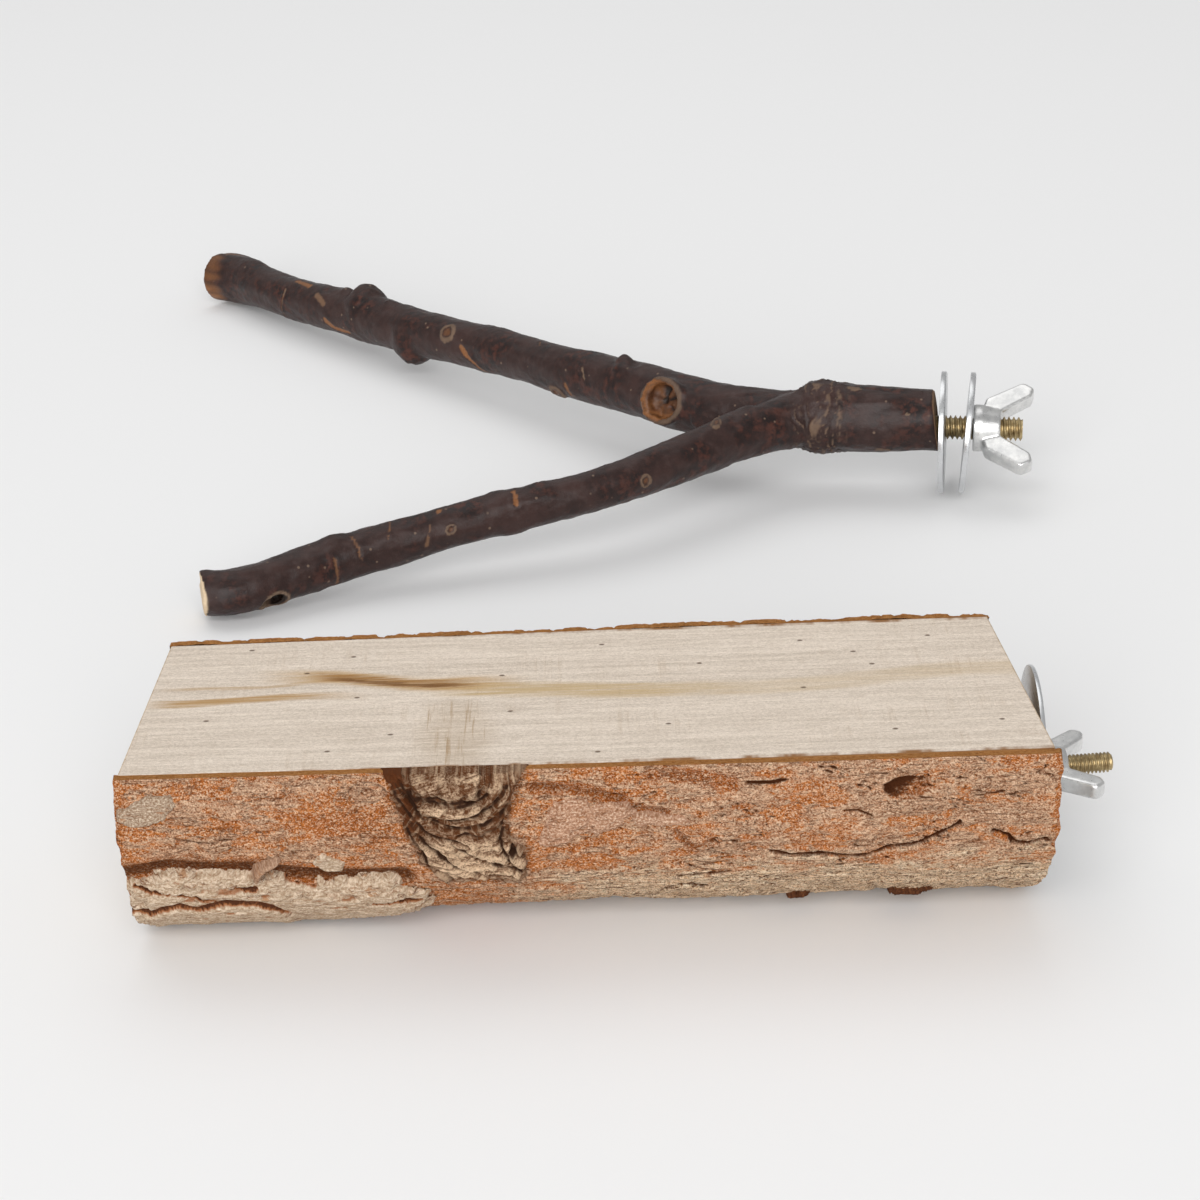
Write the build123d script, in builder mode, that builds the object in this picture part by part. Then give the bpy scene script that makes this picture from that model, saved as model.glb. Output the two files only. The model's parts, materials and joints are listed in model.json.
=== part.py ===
"""Bird perch set: a sawn log platform and a forked branch, each with a screw clamp for a cage wall."""

import os
from math import asin, cos, radians, sin, tan

from build123d import *

# Sawn log: a round log with its top third sawn away, resting on its bark
log_length = 175.0
log_diameter = 65.2
log_height = 41.8
log_bed_depth = 0.4
bark_thickness = 1.8
log_left_skew = 3.7
log_right_skew = 4.9
# girth along the log: share of the length from the middle, share of the diameter
log_girth_shares = ((-0.50, 0.965), (-0.17, 0.985), (0.17, 1.01), (0.50, 1.015))

# Dead side branch on the front of the log: overgrown lips in steps round a burl near the sawn edge
knot_width = 25.0
knot_root_depth = 9.0
knot_reach = 3.8
knot_along_share = -0.135
# height and middle of the knot, as shares of the log's height
knot_height_share = 0.6
knot_rise_share = 0.68
# the lips going in: share of the reach, of the width, of the height, lift as a share of the height
knot_lip_shares = (
    (0.35, 1.0, 1.0, 0.0),
    (0.58, 0.76, 0.72, 0.08),
    (0.80, 0.54, 0.46, 0.16),
    (1.0, 0.42, 0.24, 0.30),
)
# rounding of a lip's edge, as a share of the reach
knot_lip_round_share = 0.2

# Knot hole in the bark near the right end
dent_length = 10.5
dent_height = 4.6
dent_along_share = 0.355
dent_rise_share = 0.85
dent_wall_taper = 20.0
# depth as a share of the bark's thickness
dent_depth_share = 0.65

# Plates of bark that have lifted from the layer below
plate_thickness = 3.4
plate_corner_radius = 0.9
# each plate: share of the thickness, then its outline on the front of the log
# as shares of the length from the middle and of the height
plate_shares = (
    (1.0, ((-0.49, 0.09), (-0.495, 0.42), (-0.46, 0.47), (-0.43, 0.43), (-0.37, 0.46), (-0.32, 0.43),
           (-0.25, 0.35), (-0.21, 0.40), (-0.175, 0.32), (-0.18, 0.19), (-0.26, 0.09))),
    (0.3, ((-0.49, 0.84), (-0.475, 0.91), (-0.455, 0.93), (-0.44, 0.85), (-0.455, 0.78), (-0.48, 0.76))),
    (0.3, ((-0.30, 0.55), (-0.285, 0.61), (-0.265, 0.53), (-0.28, 0.47))),
    (0.4, ((-0.03, 0.66), (-0.005, 0.82), (0.03, 0.78), (0.095, 0.65), (0.05, 0.62), (0.01, 0.58))),
)

# Clamp on the log
log_axis_height = 20.1
log_stud_diameter = 4.2
log_stud_length = 19.5
log_screw_length = 28.0
log_washer_diameter = 42.4
log_inner_washer_diameter = 22.0
log_washer_thickness = 1.0
log_washer_play = 0.35
log_clamp_gap = 1.75
log_washer_lean = 6.5
log_lean_side = -90.0
log_hub_diameter = 9.6
log_hub_top_diameter = 7.4
log_hub_height = 5.6
log_wing_span = 22.0
log_wing_thickness = 3.6
log_nut_height = 11.6
log_nut_turn = 95.0

# Forked branch: a trunk with two limbs, standing on its limb tips and on its washers
branch_standoff = 198.6
fork_offset = 64.8
branch_yaw = -9.0
trunk_length = 31.2
trunk_diameter = 16.4
stud_drop = 1.9
near_limb_length = 172.3
near_limb_turn = 32.5
far_limb_length = 246.4
far_limb_turn = -34.7
# trunk from its sawn end to the fork: share of its length, share of its diameter
trunk_shares = ((0.0, 1.0), (0.35, 1.02), (0.70, 1.06), (1.0, 1.08))
# swollen collar where the limbs part, as a share of the trunk's diameter
fork_collar_share = 1.16
# limbs from the fork to the tip: share of the length, sideways as a share of the length,
# rise as a share of the fork's height over the tip, share of the trunk's diameter
near_limb_shares = (
    (0.00, 0.000, 1.00, 0.86),
    (0.10, -0.004, 0.99, 0.82),
    (0.22, 0.026, 0.95, 0.75),
    (0.34, 0.056, 0.88, 0.68),
    (0.44, 0.062, 0.78, 0.64),
    (0.53, 0.051, 0.66, 0.66),
    (0.61, 0.039, 0.54, 0.66),
    (0.71, 0.023, 0.35, 0.70),
    (0.81, 0.016, 0.18, 0.72),
    (0.90, 0.024, 0.07, 0.70),
    (1.00, 0.000, 0.00, 0.69),
)
far_limb_shares = (
    (0.00, 0.000, 1.00, 0.92),
    (0.08, 0.039, 0.91, 0.91),
    (0.16, 0.050, 0.90, 0.94),
    (0.25, 0.046, 0.84, 0.90),
    (0.34, 0.042, 0.73, 0.84),
    (0.44, 0.033, 0.61, 0.80),
    (0.54, 0.029, 0.48, 0.81),
    (0.65, 0.022, 0.34, 0.86),
    (0.74, 0.016, 0.24, 0.86),
    (0.82, 0.013, 0.165, 0.79),
    (0.91, 0.002, 0.08, 0.81),
    (1.00, 0.000, 0.00, 0.89),
)
# swollen joints of the far limb: share of its length, degrees round it from straight up towards the
# near limb, radius and height over the bark as shares of the trunk's diameter
far_joint_shares = ((0.235, 20.0, 0.30, 0.07), (0.605, 158.0, 0.46, 0.15), (0.70, -12.0, 0.44, 0.14))
# ringed scar where a side shoot broke off, facing outwards from the fork's opening
scar_along_share = 0.16
scar_round_angle = 72.0
scar_diameter = 13.4
scar_lip_height = 0.9
scar_hollow_diameter = 9.0
scar_hollow_depth = 2.6
scar_hollow_flare = 12.0
# knot hole near the tip of the near limb, on its outer side
hole_along_share = 0.911
hole_round_angle = 128.0
hole_diameter = 5.4
hole_depth = 3.2

# Clamp on the branch
branch_stud_diameter = 6.35
branch_stud_length = 21.6
branch_screw_length = 24.0
branch_washer_diameter = 32.0
branch_washer_thickness = 1.5
branch_washer_play = 1.5
branch_clamp_gap = 5.1
branch_washer_lean = 4.5
branch_lean_side = 0.0
branch_hub_diameter = 12.4
branch_hub_top_diameter = 9.8
branch_hub_height = 7.2
branch_wing_span = 29.0
branch_wing_thickness = 4.6
branch_nut_height = 15.8
branch_nut_turn = 118.0

# Fits shared by both clamps
pilot_clearance = 0.08
washer_hang_gap = 0.1
thread_clearance = 0.06
nut_seat_gap = 0.1
washer_edge_round = 0.35
stud_end_chamfer = 0.5
wing_edge_round = 0.7
# the hub's straight foot below its taper, as a share of the hub's height
hub_foot_share = 0.3
# one wing: share of half the span, share of the nut's height, from the hub's foot round the tip
wing_outline_shares = ((0.22, 0.10), (0.60, 0.20), (1.0, 0.80), (0.87, 1.0), (0.66, 0.95), (0.26, 0.44))
wing_corner_share = 0.1
cut_overrun = 20.0

up = Vector(0, 0, 1)


def log_round(growth):
    """The log before sawing, with its radius changed by growth all round."""
    reach = log_length + log_diameter
    with BuildPart() as body:
        for along_share, girth_share in log_girth_shares:
            radius = log_diameter * girth_share / 2
            centre = (along_share * reach, 0, radius - log_bed_depth)
            with BuildSketch(Plane(origin=centre, x_dir=(0, 1, 0), z_dir=(1, 0, 0))):
                Circle(radius + growth)
        loft()
    return body.part


def saw_to_size():
    """Saw cuts of the piece in hand: flat top, bed on the floor and the two ends."""
    split(bisect_by=Plane.XY.offset(log_height), keep=Keep.BOTTOM)
    split(bisect_by=Plane.XY, keep=Keep.TOP)
    split(bisect_by=log_left_end, keep=Keep.BOTTOM)
    split(bisect_by=log_seat, keep=Keep.BOTTOM)


def knot_stub():
    """The knot along -Y, from its root inside the wood: lips in steps, the burl standing out most."""
    centre = (knot_along_share * log_length, knot_root_depth - log_diameter / 2, knot_rise_share * log_height)
    root = Plane(origin=centre, x_dir=(1, 0, 0), z_dir=(0, -1, 0))
    edge = knot_lip_round_share * knot_reach
    knot_height = knot_height_share * log_height
    with BuildPart() as stub:
        for reach_share, width_share, height_share, lift_share in knot_lip_shares:
            half_width = width_share * knot_width / 2
            half_height = height_share * knot_height / 2
            crown = knot_root_depth + reach_share * knot_reach
            for depth, inset in ((0, 0), (crown - edge, 0), (crown, edge)):
                with BuildSketch(root.offset(depth)):
                    with Locations((0, lift_share * knot_height)):
                        Ellipse(half_width - inset, half_height - inset)
            loft(ruled=True)
    return stub.part


def bark_plate(thickness, outline_shares):
    """One plate lying on the bark of the log's front, cut to its outline."""
    lifted_log = log_round(thickness)
    with BuildPart() as plate:
        with BuildSketch(Plane.XZ) as outline:
            Polygon(*((along * log_length, rise * log_height) for along, rise in outline_shares), align=None)
            fillet(outline.vertices(), radius=plate_corner_radius)
        extrude(amount=log_diameter)
        add(lifted_log, mode=Mode.INTERSECT)
        add(barked_log, mode=Mode.SUBTRACT)
    return plate.part


def leaned(face, angle):
    """The same face leaning out on its x side by the angle, as a loose washer does."""
    outward = face.z_dir * cos(radians(angle)) - face.x_dir * sin(radians(angle))
    upward = face.x_dir * cos(radians(angle)) + face.z_dir * sin(radians(angle))
    return Plane(origin=face.origin, x_dir=upward, z_dir=outward)


def turned(face, angle):
    """The same face turned in its own plane by the angle, as a nut on its thread."""
    sideways = face.x_dir * cos(radians(angle)) + face.y_dir * sin(radians(angle))
    return Plane(origin=face.origin, x_dir=sideways, z_dir=face.z_dir)


def hanger_bolt(seat, diameter, stud_length, screw_length):
    """Stud with its screw end sunk below the seat plane and its threaded end standing out."""
    radius = diameter / 2
    axial = Plane(origin=seat.origin, x_dir=seat.x_dir, z_dir=-seat.y_dir)
    with BuildPart() as bolt:
        with BuildSketch(axial):
            with BuildLine():
                Polyline(
                    (0, -screw_length),
                    (radius, diameter - screw_length),
                    (radius, stud_length - stud_end_chamfer),
                    (radius - stud_end_chamfer, stud_length),
                    (0, stud_length),
                    close=True,
                )
            make_face()
        revolve(axis=Axis(seat.origin, seat.z_dir))
    return bolt.part


def pilot_drill(seat, diameter, screw_length):
    """The drill that makes the blind hole for a bolt's screw end, with its point."""
    hole_radius = diameter / 2 + pilot_clearance
    axial = Plane(origin=seat.origin, x_dir=seat.x_dir, z_dir=-seat.y_dir)
    with BuildPart() as drill:
        with BuildSketch(axial):
            with BuildLine():
                Polyline(
                    (0, -screw_length - 2 * pilot_clearance),
                    (hole_radius, diameter - screw_length - 2 * pilot_clearance),
                    (hole_radius, cut_overrun),
                    (0, cut_overrun),
                    close=True,
                )
            make_face()
        revolve(axis=Axis(seat.origin, seat.z_dir))
    return drill.part


def flat_washer(face, stud_diameter, play, diameter, thickness):
    """Plain washer on the given face plane, hanging on the stud by its wider hole."""
    hang = (up - face.z_dir * up.dot(face.z_dir)).normalized() * (play - washer_hang_gap)
    hung = Plane(origin=face.origin - hang, x_dir=face.x_dir, z_dir=face.z_dir)
    with BuildPart() as washer:
        with BuildSketch(hung):
            Circle(diameter / 2)
            Circle(stud_diameter / 2 + play, mode=Mode.SUBTRACT)
        extrude(amount=thickness)
        rim_edges = washer.edges().filter_by(GeomType.CIRCLE).sort_by(SortBy.RADIUS)[-2:]
        fillet(rim_edges, radius=washer_edge_round)
    return washer.part


def wing_nut(foot, stud_diameter, hub_diameters, hub_height, wing_span, wing_thickness, height):
    """Forged wing nut standing on the foot plane: tapered hub, two blocky wings, plain bore."""
    hub_radius, top_radius = (diameter / 2 for diameter in hub_diameters)
    bore_radius = stud_diameter / 2 + thread_clearance
    axial = Plane(origin=foot.origin, x_dir=foot.x_dir, z_dir=-foot.y_dir)
    with BuildPart() as nut:
        with BuildSketch(axial) as wings:
            outline = [(out * wing_span / 2, rise * height) for out, rise in wing_outline_shares]
            Polygon(*outline, align=None)
            fillet(wings.vertices(), radius=wing_corner_share * wing_span / 2)
            mirror(about=Plane.YZ)
        extrude(amount=wing_thickness / 2, both=True)
        side_faces = nut.faces().filter_by(Axis(foot.origin, axial.z_dir))
        fillet(side_faces.edges(), radius=wing_edge_round)
        with BuildSketch(axial):
            with BuildLine():
                Polyline(
                    (0, 0),
                    (hub_radius, 0),
                    (hub_radius, hub_foot_share * hub_height),
                    (top_radius, hub_height),
                    (0, hub_height),
                    close=True,
                )
            make_face()
        revolve(axis=Axis(foot.origin, foot.z_dir))
        with BuildSketch(foot.offset(-cut_overrun)):
            Circle(bore_radius)
        extrude(amount=cut_overrun + height + cut_overrun, mode=Mode.SUBTRACT)
    return nut.part


def limb_path(fork, heading, length, shares):
    """Centres and radii along a limb, from the fork to its tip lying on the floor."""
    tip_height = shares[-1][-1] * trunk_diameter / 2
    ahead = Vector(cos(radians(heading)), sin(radians(heading)), 0)
    aside = up.cross(ahead)
    path = []
    for along, side, rise, girth in shares:
        height = tip_height + rise * (fork.Z - tip_height)
        centre = Vector(fork.X, fork.Y, height) + ahead * (along * length) + aside * (side * length)
        path.append((centre, girth * trunk_diameter / 2))
    return path


def path_plane(path, number):
    """Plane across a limb at one of its stations, square to the limb."""
    before = path[max(number - 1, 0)][0]
    after = path[min(number + 1, len(path) - 1)][0]
    along = (after - before).normalized()
    return Plane(origin=path[number][0], x_dir=up.cross(along), z_dir=along)


def grown_limb(path):
    """Round limb grown through all its stations."""
    with BuildPart() as limb:
        for number, (centre, radius) in enumerate(path):
            with BuildSketch(path_plane(path, number)):
                Circle(radius)
        loft()
    return limb.part


def limb_side(path, shares, share, angle):
    """Plane at the limb's centre facing out of its side, turned from straight up by the angle."""
    number = next(i for i in range(1, len(shares)) if shares[i][0] >= share)
    start, end = shares[number - 1][0], shares[number][0]
    mix = (share - start) / (end - start)
    centre = path[number - 1][0] * (1 - mix) + path[number][0] * mix
    radius = path[number - 1][1] * (1 - mix) + path[number][1] * mix
    along = (path[number][0] - path[number - 1][0]).normalized()
    across = up.cross(along).normalized()
    top = along.cross(across)
    outward = top * cos(radians(angle)) + across * sin(radians(angle))
    return Plane(origin=centre, x_dir=along, z_dir=outward), radius


# Planes of the log's ends; the clamp stands square on the right one
log_left_end = Plane(
    origin=(-log_length / 2, 0, log_axis_height),
    x_dir=(0, 0, 1),
    z_dir=(-cos(radians(log_left_skew)), sin(radians(log_left_skew)), 0),
)
log_seat = Plane(
    origin=(log_length / 2, 0, log_axis_height),
    x_dir=(0, 0, 1),
    z_dir=(cos(radians(log_right_skew)), sin(radians(log_right_skew)), 0),
)
bare_log = log_round(-bark_thickness)
barked_log = log_round(0)
burl = knot_stub()
bark_plates = [bark_plate(share * plate_thickness, outline_shares) for share, outline_shares in plate_shares]
dent_angle = asin((dent_rise_share * log_height - log_diameter / 2) / (log_diameter / 2))
dent_face = Plane(
    origin=(dent_along_share * log_length, 0, log_diameter / 2 - log_bed_depth),
    x_dir=(1, 0, 0),
    z_dir=(0, -cos(dent_angle), sin(dent_angle)),
)
log_pilot = pilot_drill(log_seat, log_stud_diameter, log_screw_length)

# Sawn wood of the log, with the pilot hole in its right end
with BuildPart() as log_core:
    add(bare_log)
    saw_to_size()
    add(log_pilot, mode=Mode.SUBTRACT)

# Bark round the wood, broken through by the burl
with BuildPart() as log_bark:
    add(barked_log)
    add(bare_log, mode=Mode.SUBTRACT)
    add(burl, mode=Mode.SUBTRACT)
    with BuildSketch(dent_face.offset(log_diameter / 2 - dent_depth_share * bark_thickness)):
        Ellipse(dent_length / 2, dent_height / 2)
    extrude(amount=cut_overrun, taper=-dent_wall_taper, mode=Mode.SUBTRACT)
    saw_to_size()

# Burl of the dead side branch, seated on the wood
with BuildPart() as log_knot:
    add(burl)
    add(bare_log, mode=Mode.SUBTRACT)
    saw_to_size()

# Lifted plates lying on the bark
with BuildPart() as loose_bark_plates:
    for plate in bark_plates:
        add(plate)
    saw_to_size()

# Branch stands with the lower rim of its leaning washer on the floor
lean_angle = radians(branch_washer_lean)
washer_reach = branch_washer_diameter / 2 + branch_washer_play - washer_hang_gap
branch_axis_height = washer_reach * cos(lean_angle) + branch_washer_thickness * sin(lean_angle)
trunk_way = Vector(cos(radians(branch_yaw)), sin(radians(branch_yaw)), 0)
fork = Vector(fork_offset, branch_standoff, branch_axis_height + stud_drop)
trunk_end = fork + trunk_way * trunk_length
branch_seat = Plane(origin=trunk_end - up * stud_drop, x_dir=up, z_dir=trunk_way)
back_heading = branch_yaw + 180
near_path = limb_path(fork, back_heading + near_limb_turn, near_limb_length, near_limb_shares)
far_path = limb_path(fork, back_heading + far_limb_turn, far_limb_length, far_limb_shares)
trunk_path = []
for along, girth in trunk_shares:
    trunk_path.append((trunk_end - trunk_way * (along * trunk_length), girth * trunk_diameter / 2))

grown_limbs = [grown_limb(path) for path in (trunk_path, far_path, near_path)]
branch_pilot = pilot_drill(branch_seat, branch_stud_diameter, branch_screw_length)

# Forked branch: the trunk and both limbs meet in the swollen collar of the fork
with BuildPart() as forked_branch:
    with Locations(fork):
        Sphere(fork_collar_share * trunk_diameter / 2)
    for limb in grown_limbs:
        add(limb)
    for along, angle, radius_share, height_share in far_joint_shares:
        side, limb_radius = limb_side(far_path, far_limb_shares, along, angle)
        with Locations(side.offset(limb_radius + (height_share - radius_share) * trunk_diameter)):
            Sphere(radius_share * trunk_diameter)
    side, limb_radius = limb_side(far_path, far_limb_shares, scar_along_share, scar_round_angle)
    with BuildSketch(side):
        Circle(scar_diameter / 2)
    extrude(amount=limb_radius + scar_lip_height)
    with BuildSketch(side.offset(limb_radius + scar_lip_height - scar_hollow_depth)):
        Circle(scar_hollow_diameter / 2)
    extrude(amount=cut_overrun, taper=-scar_hollow_flare, mode=Mode.SUBTRACT)
    side, limb_radius = limb_side(near_path, near_limb_shares, hole_along_share, hole_round_angle)
    with BuildSketch(side.offset(limb_radius - hole_depth)):
        Circle(hole_diameter / 2)
    extrude(amount=cut_overrun, mode=Mode.SUBTRACT)
    split(bisect_by=branch_seat, keep=Keep.BOTTOM)
    split(bisect_by=Plane.XY, keep=Keep.TOP)
    add(branch_pilot, mode=Mode.SUBTRACT)

pieces = {
    "log_core": log_core.part,
    "log_bark": log_bark.part,
    "log_knot": log_knot.part,
    "loose_bark_plates": loose_bark_plates.part,
    "forked_branch": forked_branch.part,
}

# Both clamps: bolt, inner washer on the wood, outer washer and wing nut
clamps = (
    (
        "log",
        log_seat,
        (log_stud_diameter, log_stud_length, log_screw_length),
        (log_inner_washer_diameter, log_washer_diameter, log_washer_thickness, log_washer_play),
        (log_clamp_gap, log_washer_lean, log_lean_side),
        ((log_hub_diameter, log_hub_top_diameter), log_hub_height),
        (log_wing_span, log_wing_thickness, log_nut_height, log_nut_turn),
    ),
    (
        "branch",
        branch_seat,
        (branch_stud_diameter, branch_stud_length, branch_screw_length),
        (branch_washer_diameter, branch_washer_diameter, branch_washer_thickness, branch_washer_play),
        (branch_clamp_gap, branch_washer_lean, branch_lean_side),
        ((branch_hub_diameter, branch_hub_top_diameter), branch_hub_height),
        (branch_wing_span, branch_wing_thickness, branch_nut_height, branch_nut_turn),
    ),
)
for perch, seat, bolt_sizes, washer_sizes, rest_place, hub_sizes, wing_sizes in clamps:
    stud_diameter, stud_length, screw_length = bolt_sizes
    inner_diameter, outer_diameter, washer_thickness, washer_play = washer_sizes
    clamp_gap, lean, lean_side = rest_place
    hub_diameters, hub_height = hub_sizes
    wing_span, wing_thickness, nut_height, nut_turn = wing_sizes
    outer_face = leaned(turned(seat.offset(washer_thickness + clamp_gap), lean_side), lean)
    foot_height = 2 * washer_thickness + clamp_gap + hub_diameters[0] / 2 * tan(radians(lean)) + nut_seat_gap
    nut_foot = turned(seat.offset(foot_height), nut_turn)
    pieces[perch + "_hanger_bolt"] = hanger_bolt(seat, stud_diameter, stud_length, screw_length)
    pieces[perch + "_inner_washer"] = flat_washer(
        seat, stud_diameter, washer_play, inner_diameter, washer_thickness
    )
    pieces[perch + "_outer_washer"] = flat_washer(
        outer_face, stud_diameter, washer_play, outer_diameter, washer_thickness
    )
    pieces[perch + "_wing_nut"] = wing_nut(
        nut_foot, stud_diameter, hub_diameters, hub_height, wing_span, wing_thickness, nut_height
    )

# The origin is on the floor, under the middle of the whole set
set_box = Compound(children=[piece.moved(Location()) for piece in pieces.values()]).bounding_box()
to_origin = Location((-set_box.center().X, -set_box.center().Y, -set_box.min.Z))
os.makedirs("parts", exist_ok=True)
for name, piece in pieces.items():
    piece.label = name
    export_step(piece.moved(to_origin), f"parts/{name}.step")
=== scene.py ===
"""Bird perch set for a cage: a sawn log platform and a forked branch, each with a wing nut clamp."""

import json
import math

import bmesh
import bpy
from mathutils import Matrix, Vector, noise


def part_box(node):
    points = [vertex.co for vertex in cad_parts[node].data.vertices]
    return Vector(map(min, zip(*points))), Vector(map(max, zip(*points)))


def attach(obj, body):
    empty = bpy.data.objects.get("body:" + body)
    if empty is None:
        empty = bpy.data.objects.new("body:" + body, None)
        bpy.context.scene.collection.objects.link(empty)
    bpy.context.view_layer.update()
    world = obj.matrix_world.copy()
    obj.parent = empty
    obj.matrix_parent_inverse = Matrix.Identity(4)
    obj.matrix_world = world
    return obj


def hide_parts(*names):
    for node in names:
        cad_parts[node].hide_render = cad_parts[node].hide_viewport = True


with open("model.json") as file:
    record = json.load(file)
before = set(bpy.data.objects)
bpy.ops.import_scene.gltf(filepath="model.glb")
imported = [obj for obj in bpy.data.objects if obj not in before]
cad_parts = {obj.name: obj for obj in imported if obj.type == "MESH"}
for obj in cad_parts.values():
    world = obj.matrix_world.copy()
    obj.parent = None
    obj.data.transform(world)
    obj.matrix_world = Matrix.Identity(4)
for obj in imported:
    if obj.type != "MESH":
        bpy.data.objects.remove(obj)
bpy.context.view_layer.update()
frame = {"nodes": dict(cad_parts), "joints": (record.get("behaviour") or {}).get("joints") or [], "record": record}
# the growth of bark, knot and branch is drawn from one seed, so that it is the same each time
noise.seed_set(5)

# Sawn log: a round of pale softwood with its top third sawn off flat and both ends cut nearly square.
# It lies on its bark, and its place is the top mount in the middle of the sawn face. Sizes are in mm.
mm = 0.001
log_top = Vector(next(m["pos_m"] for m in frame["record"]["mounts"] if m["name"] == "log_top"))
log_foot = Vector((log_top.x, log_top.y, 0))
log_height = 41.8
log_radius = 32.6
log_bed = 0.4
bark_depth = 1.8
half_length = 87.5
left_slope = math.tan(math.radians(3.7))
right_slope = math.tan(math.radians(4.9))


def log_girth(x):
    """Radius over the bark at x from the log's middle; the log swells a little to the right."""
    if x < -41:
        return log_radius * (0.985 + (x + 41) * 0.00025)
    if x < 41:
        return log_radius * (0.985 + (x + 41) * 0.000305)
    return log_radius * (1.01 + (x - 41) * 0.00006)


socket_names = {
    "roughness": "Roughness", "specular": "Specular IOR Level", "metal": "Metallic", "ior": "IOR",
}


class Tone:
    """A socket of a finish. Sums and products on it add Math nodes, node() adds any other."""

    def __init__(self, tree, socket=None):
        self.tree = tree
        self.socket = socket

    def node(self, kind, settings=None, inputs=None, output=0):
        made = self.tree.nodes.new("ShaderNode" + kind)
        for name, value in (settings or {}).items():
            setattr(made, name, value)
        for name, value in (inputs or {}).items():
            if isinstance(value, Tone):
                self.tree.links.new(value.socket, made.inputs[name])
            else:
                made.inputs[name].default_value = value
        return Tone(self.tree, made.outputs[output])

    def sum_of(self, operation, first, second):
        return self.node("Math", {"operation": operation}, {0: first, 1: second})

    def __add__(self, other):
        return self.sum_of("ADD", self, other)

    __radd__ = __add__

    def __sub__(self, other):
        return self.sum_of("SUBTRACT", self, other)

    def __mul__(self, other):
        return self.sum_of("MULTIPLY", self, other)

    __rmul__ = __mul__

    def __pow__(self, other):
        return self.sum_of("POWER", self, other)

    def __abs__(self):
        return self.node("Math", {"operation": "ABSOLUTE"}, {0: self})

    def step(self, start, end):
        """0 below start, 1 above end and smooth between them; start may be the greater."""
        ends = {"Value": self, "From Min": start, "From Max": end}
        return self.node("MapRange", {"interpolation_type": "SMOOTHSTEP"}, ends)

    def full(self):
        """Noise, which keeps near its middle, spread over all of 0 to 1."""
        return self.step(0.34, 0.66)

    def parts(self):
        """The three numbers of a vector."""
        return [self.node("SeparateXYZ", {}, {"Vector": self}, k) for k in range(3)]

    def stretched(self, x, y, z):
        """A vector with its three numbers multiplied."""
        return self.node("VectorMath", {"operation": "MULTIPLY"}, {0: self, 1: (x, y, z)})

    def noise(self, stretch, detail=3.0, roughness=0.55, warp=0.0):
        """Soft noise from 0 to 1 on a vector that is stretched by one number or by three."""
        stretch = stretch if isinstance(stretch, tuple) else (stretch, stretch, stretch)
        look = {"Scale": 1.0, "Detail": detail, "Roughness": roughness, "Distortion": warp}
        return self.node("TexNoise", {}, {"Vector": self.stretched(*stretch), **look})

    def cells(self, scale, output=0):
        """Cells of a vector: the distance to the middle of each, or at output 1 its colour."""
        return self.node("TexVoronoi", {}, {"Vector": self, "Scale": scale}, output)

    def place(self):
        """Place in the frame in mm."""
        return self.node("TexCoord", output=3).stretched(1000, 1000, 1000)

    def layer(self, name, output=0):
        """What a mesh carries at each vertex under a name: colour 0, vector 1 or alpha 3."""
        return self.node("Attribute", {"attribute_name": name}, {}, output)

    def mixed(self, first, second):
        """Colour between the first, at 0, and the second, at 1."""
        return self.node("Mix", {"data_type": "RGBA"}, {0: self, 6: first, 7: second}, 2)


def coated(colour, *coats):
    """A colour with further ones laid over it in turn, each by its share."""
    for share, coat in coats:
        colour = share.mixed(colour, coat)
    return colour


def new_finish(name, **settings):
    """A material with settings of its main shader, that shader and the start of its tree."""
    finish = bpy.data.materials.new(name)
    finish.use_nodes = True
    shader = finish.node_tree.nodes["Principled BSDF"]
    for socket, value in settings.items():
        shader.inputs[socket_names[socket]].default_value = value
    return finish, shader, Tone(finish.node_tree)


def link(shader, socket, tone):
    """Feeds one socket of the main shader."""
    tone.tree.links.new(tone.socket, shader.inputs[socket])


def link_relief(shader, relief, strength, depth):
    """Gives the surface a relief too fine for its mesh, with its depth in m."""
    bump = relief.node("Bump", {}, {"Height": relief, "Strength": strength, "Distance": depth})
    link(shader, "Normal", bump)


def set_on_log(bm):
    """Smooths a piece drawn in mm about the log's foot and sets it in its place."""
    for face in bm.faces:
        face.smooth = True
    bmesh.ops.scale(bm, verts=bm.verts[:], vec=(mm, mm, mm))
    bmesh.ops.translate(bm, verts=bm.verts[:], vec=log_foot)


def finished_piece(name, bm, finish, node, body):
    """Turns a bmesh into a piece that stands for a CAD node and rides its body."""
    mesh = bpy.data.meshes.new(name)
    bm.to_mesh(mesh)
    bm.free()
    mesh.materials.append(finish)
    piece = bpy.data.objects.new(name, mesh)
    bpy.context.scene.collection.objects.link(piece)
    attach(piece, body)
    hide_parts(node)
    return piece


blank_length, core_sides, core_cuts = 200.0, 220, 19
core = bmesh.new()
endways = Matrix.Rotation(math.radians(90), 4, "Y")
bmesh.ops.create_cone(
    core, cap_ends=True, segments=core_sides, radius1=1.0, radius2=1.0, depth=blank_length, matrix=endways
)
long_edges = [edge for edge in core.edges if edge.calc_length() > blank_length / 2]
bmesh.ops.subdivide_edges(core, edges=long_edges, cuts=core_cuts, use_grid_fill=True)
for vert in core.verts:
    girth = log_girth(vert.co.x)
    wood = girth - bark_depth + 0.05
    vert.co = Vector((vert.co.x, vert.co.y * wood, vert.co.z * wood + girth - log_bed))
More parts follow.
